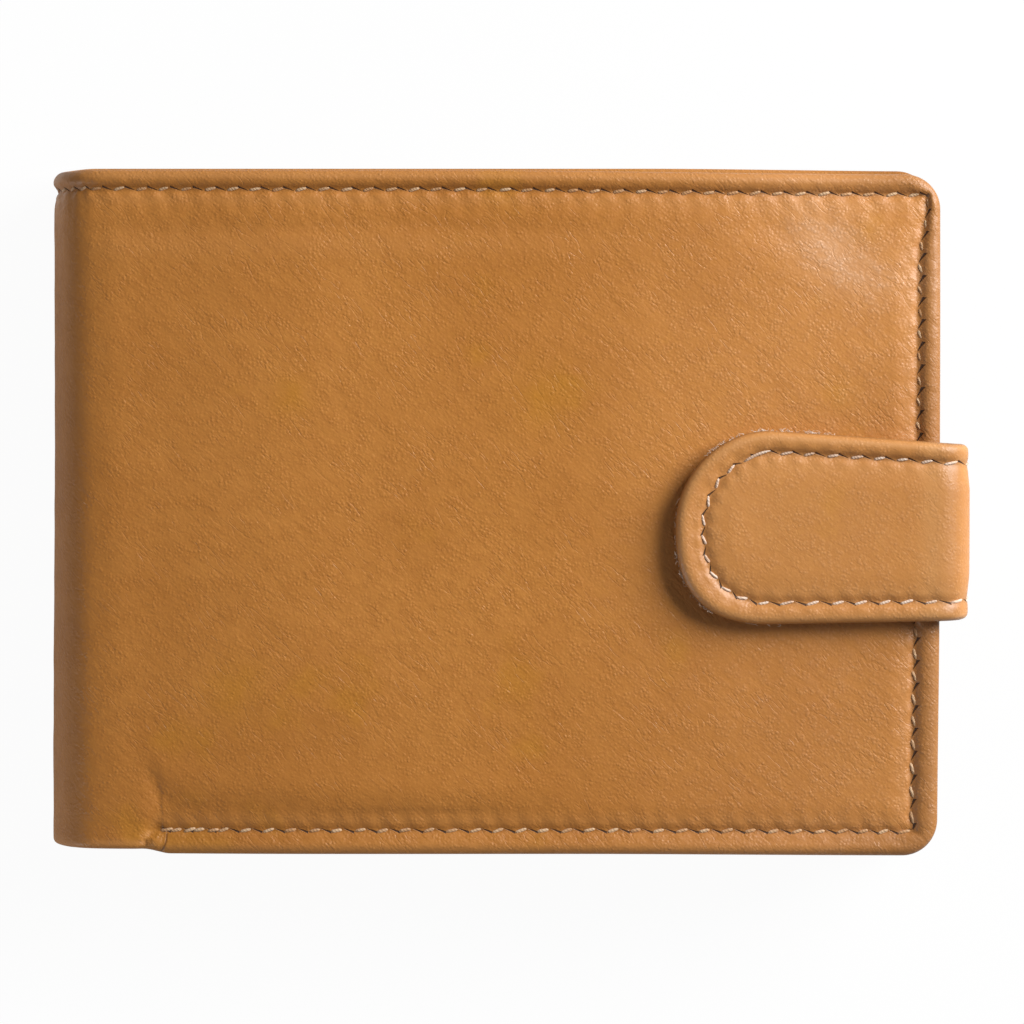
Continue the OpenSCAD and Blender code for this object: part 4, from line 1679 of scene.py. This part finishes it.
    def build_fibres(self) -> None:
        """Makes the loose fibres along the raw edge round the strap's nose.

        Along a fibre, t runs from 0 to 1. It follows the outline, stands off it by a random reach times t
        and curls by the sine of a random angle times t.
        """
        rng = np.random.default_rng(44)
        count, rings = self.fibres, 7
        side, turn = self.edge_line.counts
        below = rng.normal(side + 0.30 * turn, 0.14 * turn, count // 2)
        above = rng.uniform(side + 0.75 * turn, side + turn + 9, count // 2)
        starts = np.concatenate([below, above])
        pick = rng.uniform(-1, 1, (6, count, 1))
        t = np.linspace(0, 1, rings)[None, :]
        u = starts[:, None] + 0.9 * pick[0] * t + 0.22 * np.sin(2.6 * pick[1] * t * math.pi)
        reach = 0.12 + self.fibre_reach * np.abs(pick[2])
        v = 0.08 - reach * t + 0.14 * np.sin(3.0 * pick[3] * t * math.pi)
        s, y = self.edge_line.locate(u, v)
        h = 0.15 + 0.15 * pick[4] + 0.25 * pick[5] * t + self.lay(s, y)
        line = self.bed.place(*self.warp(s, y), h)
        away = self.bed.place(*self.warp(s, y), h + 1) - line
        radius = self.fibre_radius * np.sqrt(1.05 - t) + 0 * u
        piece = strands("strap_tip_fibres", line, away, radius, 5)
        self.wardrobe.dress(piece, Finish.CREAM, "thread")
        self.bend(piece, "tip")

    def bend(self, piece: Piece, name: str) -> None:
        """Bakes a piece's transform into its mesh."""
        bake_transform(piece)


@dataclass
class Leaf:
    """The middle leaf: a panel on a folded hinge strip, a card slot and a framed clear window.

    The frame laps over the window by lap and starts hinge_room past the hinge; its seam is seam_inset in.
    """

    wardrobe: Wardrobe
    thick: float = 0.8
    hinge_radius: float = 2.0
    corner: float = 3.0
    window_corner: float = 4.0
    film_corner: float = 2.0
    film: tuple[float, float] = (-0.22, -0.04)
    lap: float = 3.0
    hinge_room: float = 1.2
    seam_inset: float = 2.4
    roll: float = 0.5
    panel_roll: float = 0.4
    slot_roll: float = 0.45
    film_roll: float = 0.1

    def __post_init__(self) -> None:
        """Reads the leaf's places."""
        self.low, self.high = low("leaf_frame"), high("leaf_frame")
        self.window_low, self.window_high = low("leaf_window"), high("leaf_window")

    def flat_bed(self, z: float) -> Bed:
        """A level bed at a height, on which s is x."""
        return Bed(Route((0.0, z), 0.0, ((1.0, 0.0),)))

    def finish(self, piece: Piece, finish: Finish, slot: str, *nodes: str) -> None:
        """Dresses a piece that rides on the leaf."""
        self.wardrobe.dress(piece, finish, slot)
        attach(piece, "centre_leaf")
        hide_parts(*nodes)

    def build_panel(self) -> None:
        """Makes the panel, which comes up from the back half in an S-shaped hinge strip."""
        tongue_low, tongue_high = low("leaf_tongue"), high("leaf_tongue")
        panel_low, panel_high = low("leaf_panel"), high("leaf_panel")
        thick = self.thick
        z0, z1 = (tongue_low[2] + tongue_high[2]) / 2 + 0.15, panel_high[2] - thick / 2
        x_hinge = panel_low[0] + 0.3
        bend = min(self.hinge_radius, (z1 - z0) / 2)
        quarter = bend * math.pi / 2
        flat = x_hinge - bend - tongue_low[0]
        runs = (
            (flat, 0), (quarter, math.pi / 2), (z1 - z0 - 2 * bend, 0), (quarter, -math.pi / 2),
            (panel_high[0] - x_hinge - bend, 0),
        )
        bed = Bed(Route((tongue_low[0], z0), 0.0, runs))
        total = sum(length for length, _ in runs)
        plan = Plan(0, total, panel_low[1], panel_high[1], self.corner, step_s=0.9, step_y=1.5)

        def under(s: Array, y: Array, d: Array) -> Array:
            """The panel's lower face, with soft waves between the hinge and the free edge."""
            wave = 0.12 * ripple(s + 70, y + 60, 15.0, 14) * smooth(12.0, 30.0, s)
            return -thick / 2 + wave * smooth(total, total - 20, s) * 0.3

        def masks(s: Array, y: Array, d: Array) -> Masks:
            """Worn edges and painted shade in the hinge's bend."""
            return {"wear": 0.7 * smooth(0.9, 0.1, d), "crease": 0.25 * bell(s, flat + quarter, 2.0)}

        piece = shell("leaf_inner_leather", bed, plan, level(thick / 2), under, self.panel_roll, masks)
        self.wardrobe.dress(piece, Finish.INNER, "inner_leather")
        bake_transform(piece)
        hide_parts("leaf_panel", "leaf_tongue")

    def build_slot(self) -> None:
        """Makes the card slot on the leaf's lower side."""
        box_low, box_high = low("leaf_card_slot"), high("leaf_card_slot")
        plan = Plan(box_low[0], box_high[0], box_low[1], box_high[1], self.corner, step_s=0.9, step_y=1.5)

        def under(s: Array, y: Array, d: Array) -> Array:
            """The slot's lower face, creased at the mouth, with soft waves."""
            mouth = 0.12 * bell(plan.y1 - y, 1.9, 0.32)
            return box_low[2] - box_high[2] + mouth + 0.06 * ripple(s + 70, y + 60, 13.0, 15)

        piece = shell(
            "leaf_card_pocket", self.flat_bed(box_high[2]), plan, level(-0.02), under,
            self.slot_roll, mouth_masks(plan, 0.5),
        )
        self.finish(piece, Finish.INNER, "inner_leather", "leaf_card_slot")

    def build_window(self) -> None:
        """Makes the clear film, with the slight waves of soft plastic."""
        (x0, y0, _), (x1, y1, z) = self.window_low, self.window_high
        plan = Plan(x0, x1, y0, y1, self.film_corner, step_s=1.5, step_y=1.5)

        def face(level: float) -> Face:
            """A face of the film at a level under the window's top, with the film's waves."""
            return lambda s, y, d: 0.05 * ripple(s + 70, y + 60, 9.0, 16) + level

        under, top = (face(level) for level in self.film)
        film = shell("leaf_clear_window", self.flat_bed(z), plan, top, under, self.film_roll)
        self.finish(film, Finish.CLEAR, "clear_film", "leaf_window")

    def loop(self, lowest: Array, highest: Array, radius: float) -> Array:
        """A rounded rectangle's points, clockwise from above: each corner's arc, then the next side.

        Args:
            lowest: Its low corner.
            highest: Its high corner.
            radius: Its corners' radius.

        Returns:
            One row per point, as many for any size.
        """
        turn = np.linspace(0, math.pi / 2, 9)
        side = np.linspace(0, 1, 60)[1:-1, None]
        left, right = lowest[0] + radius, highest[0] - radius
        bottom, top = lowest[1] + radius, highest[1] - radius
        corners = []
        for quarter, (x, y) in enumerate(((right, top), (right, bottom), (left, bottom), (left, top))):
            angle = math.pi / 2 - quarter * math.pi / 2 - turn
            corners.append(np.stack([x + radius * np.cos(angle), y + radius * np.sin(angle)], axis=1))
        parts = []
        for here, ahead in zip(corners, corners[1:] + corners[:1]):
            parts += [here, here[-1] * (1 - side) + ahead[0] * side]
        return np.concatenate(parts)

    def build_frame(self) -> None:
        """Makes the window's leather frame and its stitches.

        A point is a share b of the way from the window's outline to the frame's, with both edges rolled.
        """
        lap = self.lap
        inner = self.loop(self.window_low + lap, self.window_high - lap, self.window_corner)
        low_corner = self.low + (self.hinge_room, 0, 0)
        outer = self.loop(low_corner, self.high, self.corner)
        border = np.array([0, 0.004, 0.015, 0.035, 0.07, 0.11])
        b = np.concatenate([border, np.linspace(0.16, 0.84, 26), 1 - border[::-1]])[:, None, None]
        place = inner[None] * (1 - b) + outer[None] * b
        width = np.linalg.norm(outer - inner, axis=1)[None]
        share = b[..., 0]
        near = np.minimum(share, 1 - share) * width
        round_off = to_edge(near, self.roll)
        x, y = place[..., 0], place[..., 1]
        (left, bottom), (right, top) = low_corner[:2] + self.seam_inset, self.high[:2] - self.seam_inset
        corners = ((left, top), (right, top), (right, bottom), (left, bottom), (left, top))
        seam = RowSeam(corners, open_end=False)
        u, v = seam.measure(x, y)
        full = self.high[2] - self.low[2]

        def face(px: Array, py: Array) -> Array:
            """The frame's upper face, with the seam's groove and the bead beside it."""
            _, off = seam.measure(px, py)
            return full - 0.12 - 0.2 * bell(off, 0, 0.5) + 0.08 * bell(off, -1.2, 0.8)

        crease = 0.1 * bell(share * width, 1.7, 0.3)
        rise = (face(x, y) - crease - full / 2) * round_off
        z_mid = self.low[2] + full / 2
        upper = np.stack([x, y, z_mid + rise], axis=-1)
        under = np.stack([x, y, z_mid - (full / 2 - 0.03) * round_off], axis=-1)
        rows, cols = x.shape
        index = np.arange(rows * cols).reshape(rows, cols)
        below = index.copy()
        below[1:-1] = rows * cols + np.arange((rows - 2) * cols).reshape(rows - 2, cols)
        index, below = (np.concatenate([i, i[:, :1]], axis=1) for i in (index, below))
        points = np.concatenate([upper.reshape(-1, 3), under[1:-1].reshape(-1, 3)])
        # The frame's crease is a dip in its face, and four times it is painted shade in the colour
        masks = {"stitch_u": u, "stitch_v": v, "wear": 0.8 * smooth(0.9, 0.1, near), "crease": crease * 4}
        values = {label: np.concatenate([m.ravel(), m[1:-1].ravel()]) for label, m in masks.items()}
        piece = mesh_object("leaf_frame_leather", points, [quads(index, True), quads(below, False)], values)
        self.finish(piece, Finish.INNER, "inner_leather", "leaf_frame")
        numbers = np.arange(sum(seam.counts), dtype=float)
        thread = Thread(lift=0.12).stitches(
            "leaf_thread", self.flat_bed(self.low[2]), seam.locate, numbers, face, 12
        )
        self.finish(thread, Finish.BEIGE, "thread", "leaf_stitching")

    def build(self) -> None:
        """Makes the whole leaf."""
        self.build_panel()
        self.build_slot()
        self.build_window()
        self.build_frame()


@dataclass
class Snap:
    """The snap: a stud on the front cover and a socket in the strap."""

    wardrobe: Wardrobe
    neck: float = 1.5
    head: float = 1.88
    hole: float = 2.15

    def build(self) -> None:
        """Makes the stud and the socket, and plates the two hidden pieces."""
        for node, body, closed in (("snap_stud", "front_half", False), ("snap_socket", "strap_tip", True)):
            lowest, highest = low(node), high(node)
            centre = tuple((lowest[:2] + highest[:2]) / 2)
            profile = self.socket(lowest, highest) if closed else self.stud(lowest, highest)
            piece = lathe(f"{node}_metal", centre, profile, closed)
            self.wardrobe.dress(piece, Finish.SNAP, "snap_metal")
            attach(piece, body)
            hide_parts(node)
        for node in ("snap_post", "snap_cap"):
            self.wardrobe.dress(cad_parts[node], Finish.SNAP)

    def stud(self, lowest: Array, highest: Array) -> Profile:
        """The stud's profile: a domed flange, a neck and a rounded head."""
        flange, z0, z1 = (highest[0] - lowest[0]) / 2, lowest[2], highest[2]
        neck, head = self.neck, self.head
        return [
            (0, z0), (flange, z0), (flange, z0 + 0.25), (flange - 0.5, z0 + 0.45), (neck + 0.25, z0 + 0.52),
            (neck, z0 + 0.75), (neck, z1 - 0.55), (head, z1 - 0.35), (head - 0.06, z1 - 0.12),
            (head - 0.58, z1), (0, z1),
        ]

    def socket(self, lowest: Array, highest: Array) -> Profile:
        """The socket's profile: a ring with a rolled lip round the stud's hole."""
        out, z0, z1, hole = (highest[0] - lowest[0]) / 2, lowest[2], highest[2], self.hole
        return [
            (hole, z0 + 0.25), (hole + 0.2, z0 + 0.02), (hole + 0.6, z0), (hole + 0.9, z0 + 0.12),
            (out - 0.45, z0 + 0.12), (out - 0.25, z0 + 0.04), (out, z0 + 0.2), (out, z1 - 0.15),
            (out - 0.2, z1), (hole + 0.1, z1), (hole, z1 - 0.2),
        ]


# ---- The studio ----


@dataclass(frozen=True)
class Lamp:
    """A square area lamp that points at the wallet."""

    name: str
    place: tuple[float, float, float]
    size: float
    power: float
    colour: tuple[float, float, float] = (1.0, 1.0, 1.0)

    def build(self, target: Vector) -> None:
        """Hangs the lamp."""
        data = bpy.data.lights.new(self.name, "AREA")
        data.shape, data.size, data.energy, data.color = "SQUARE", self.size, self.power, self.colour
        lamp = linked(self.name, data)
        lamp.location = self.place
        lamp.rotation_euler = (target - lamp.location).to_track_quat("-Z", "Y").to_euler()


@dataclass(frozen=True)
class Studio:
    """A pale floor, soft lamps and a long lens almost straight above the front cover."""

    lamps: tuple[Lamp, ...] = (
        Lamp("key_lamp", (0.42, 0.27, 0.285), 0.34, 5.7),
        Lamp("fill_lamp", (-0.50, -0.34, 0.17), 0.25, 0.9),
    )
    ambient: float = 0.13
    glossy_share: float = 0.2
    distance: float = 0.950
    tilt: float = math.radians(3.3)
    lens: float = 252.0
    sensor: float = 36.0
    aim: tuple[float, float] = (1.985, -0.066)
    floor_half: float = 1500.0
    floor_colour: Colour = (0.9, 0.9, 0.9, 1)
    floor_glow: float = 0.96

    def open_to_view(self, graph: Graph) -> Socket:
        """1 for camera and transmission rays, which see white, and a share for glossy ones."""
        rays = graph.node("ShaderNodeLightPath").outputs
        glossy = graph.math("MULTIPLY", rays["Is Glossy Ray"], self.glossy_share)
        seen = graph.math("MAXIMUM", rays["Is Camera Ray"], glossy)
        return graph.math("MAXIMUM", seen, rays["Is Transmission Ray"])

    def build_world(self) -> None:
        """Lights the scene evenly, and shows white behind it."""
        world = bpy.data.worlds.new("studio")
        world.use_nodes = True
        bpy.context.scene.world = world
        graph = Graph(world.node_tree)
        back = world.node_tree.nodes["Background"]
        back.inputs["Color"].default_value = (1, 1, 1, 1)
        ends = {0: self.open_to_view(graph), 2: self.ambient, 3: 1.0}
        graph.join(graph.node("ShaderNodeMix", ends).outputs[0], back.inputs["Strength"])

    def build_floor(self) -> None:
        """Lays a pale floor that stays near white and keeps the wallet's shadow."""
        size = self.floor_half
        corners = np.array([[-size, -size, 0], [size, -size, 0], [size, size, 0], [-size, size, 0]])
        floor = mesh_object("studio_floor", corners, [np.array([[0, 1, 2, 3]])])
        material, graph, shader, _ = surface(
            "white_floor", Base_Color=self.floor_colour, Roughness=0.9, Specular_IOR_Level=0.1
        )
        glow = graph.node("ShaderNodeEmission", {"Color": (1, 1, 1, 1), "Strength": 1.0})
        share = graph.math("MULTIPLY", self.open_to_view(graph), self.floor_glow)
        mixed = graph.node("ShaderNodeMixShader", {0: share, 1: shader.outputs[0], 2: glow.outputs[0]})
        graph.join(mixed.outputs[0], material.node_tree.nodes["Material Output"].inputs["Surface"])
        floor.data.materials.append(material)

    def build_camera(self, z: float) -> Vector:
        """Sets the camera square to the wallet's sides, leaning a little towards its top edge.

        Args:
            z: Height of the front cover's face in metres.

        Returns:
            The point it looks at.
        """
        target = Vector((self.aim[0] * MM, self.aim[1] * MM, z))
        data = bpy.data.cameras.new("camera")
        data.lens, data.sensor_width, data.clip_end = self.lens, self.sensor, 20.0
        camera = linked("camera", data)
        offset = Vector((0, math.sin(self.tilt), math.cos(self.tilt))) * self.distance
        turn = Matrix.Rotation(-self.tilt, 4, "X")
        camera.matrix_world = Matrix.Translation(target + offset) @ turn
        bpy.context.scene.camera = camera
        return target

    def build(self, z: float) -> None:
        """Builds the whole studio."""
        bpy.context.scene.view_settings.view_transform = "Standard"
        target = self.build_camera(z)
        self.build_world()
        self.build_floor()
        for lamp in self.lamps:
            lamp.build(target)


def main() -> None:
    """Builds the wallet and the studio around it."""
    logging.basicConfig(level=logging.INFO, format="%(message)s")
    layout = Layout.read()
    wardrobe = Wardrobe()
    back = {"slots": 4, "mouth_inset": 2.6, "bottom_inset": 2.8, "edge_insets": (2.6, 2.6)}
    front = {"slots": 3, "mouth_inset": 2.4, "bottom_inset": 3.1, "edge_insets": (1.6, 2.3)}
    Half(layout, wardrobe, Side.BACK, **back).build()
    Half(layout, wardrobe, Side.FRONT, **front, mouth_drop=0.3).build()
    Leaf(wardrobe).build()
    Strap(wardrobe).build()
    Snap(wardrobe).build()
    Studio().build(layout.thick * MM)


if __name__ == "__main__":
    main()
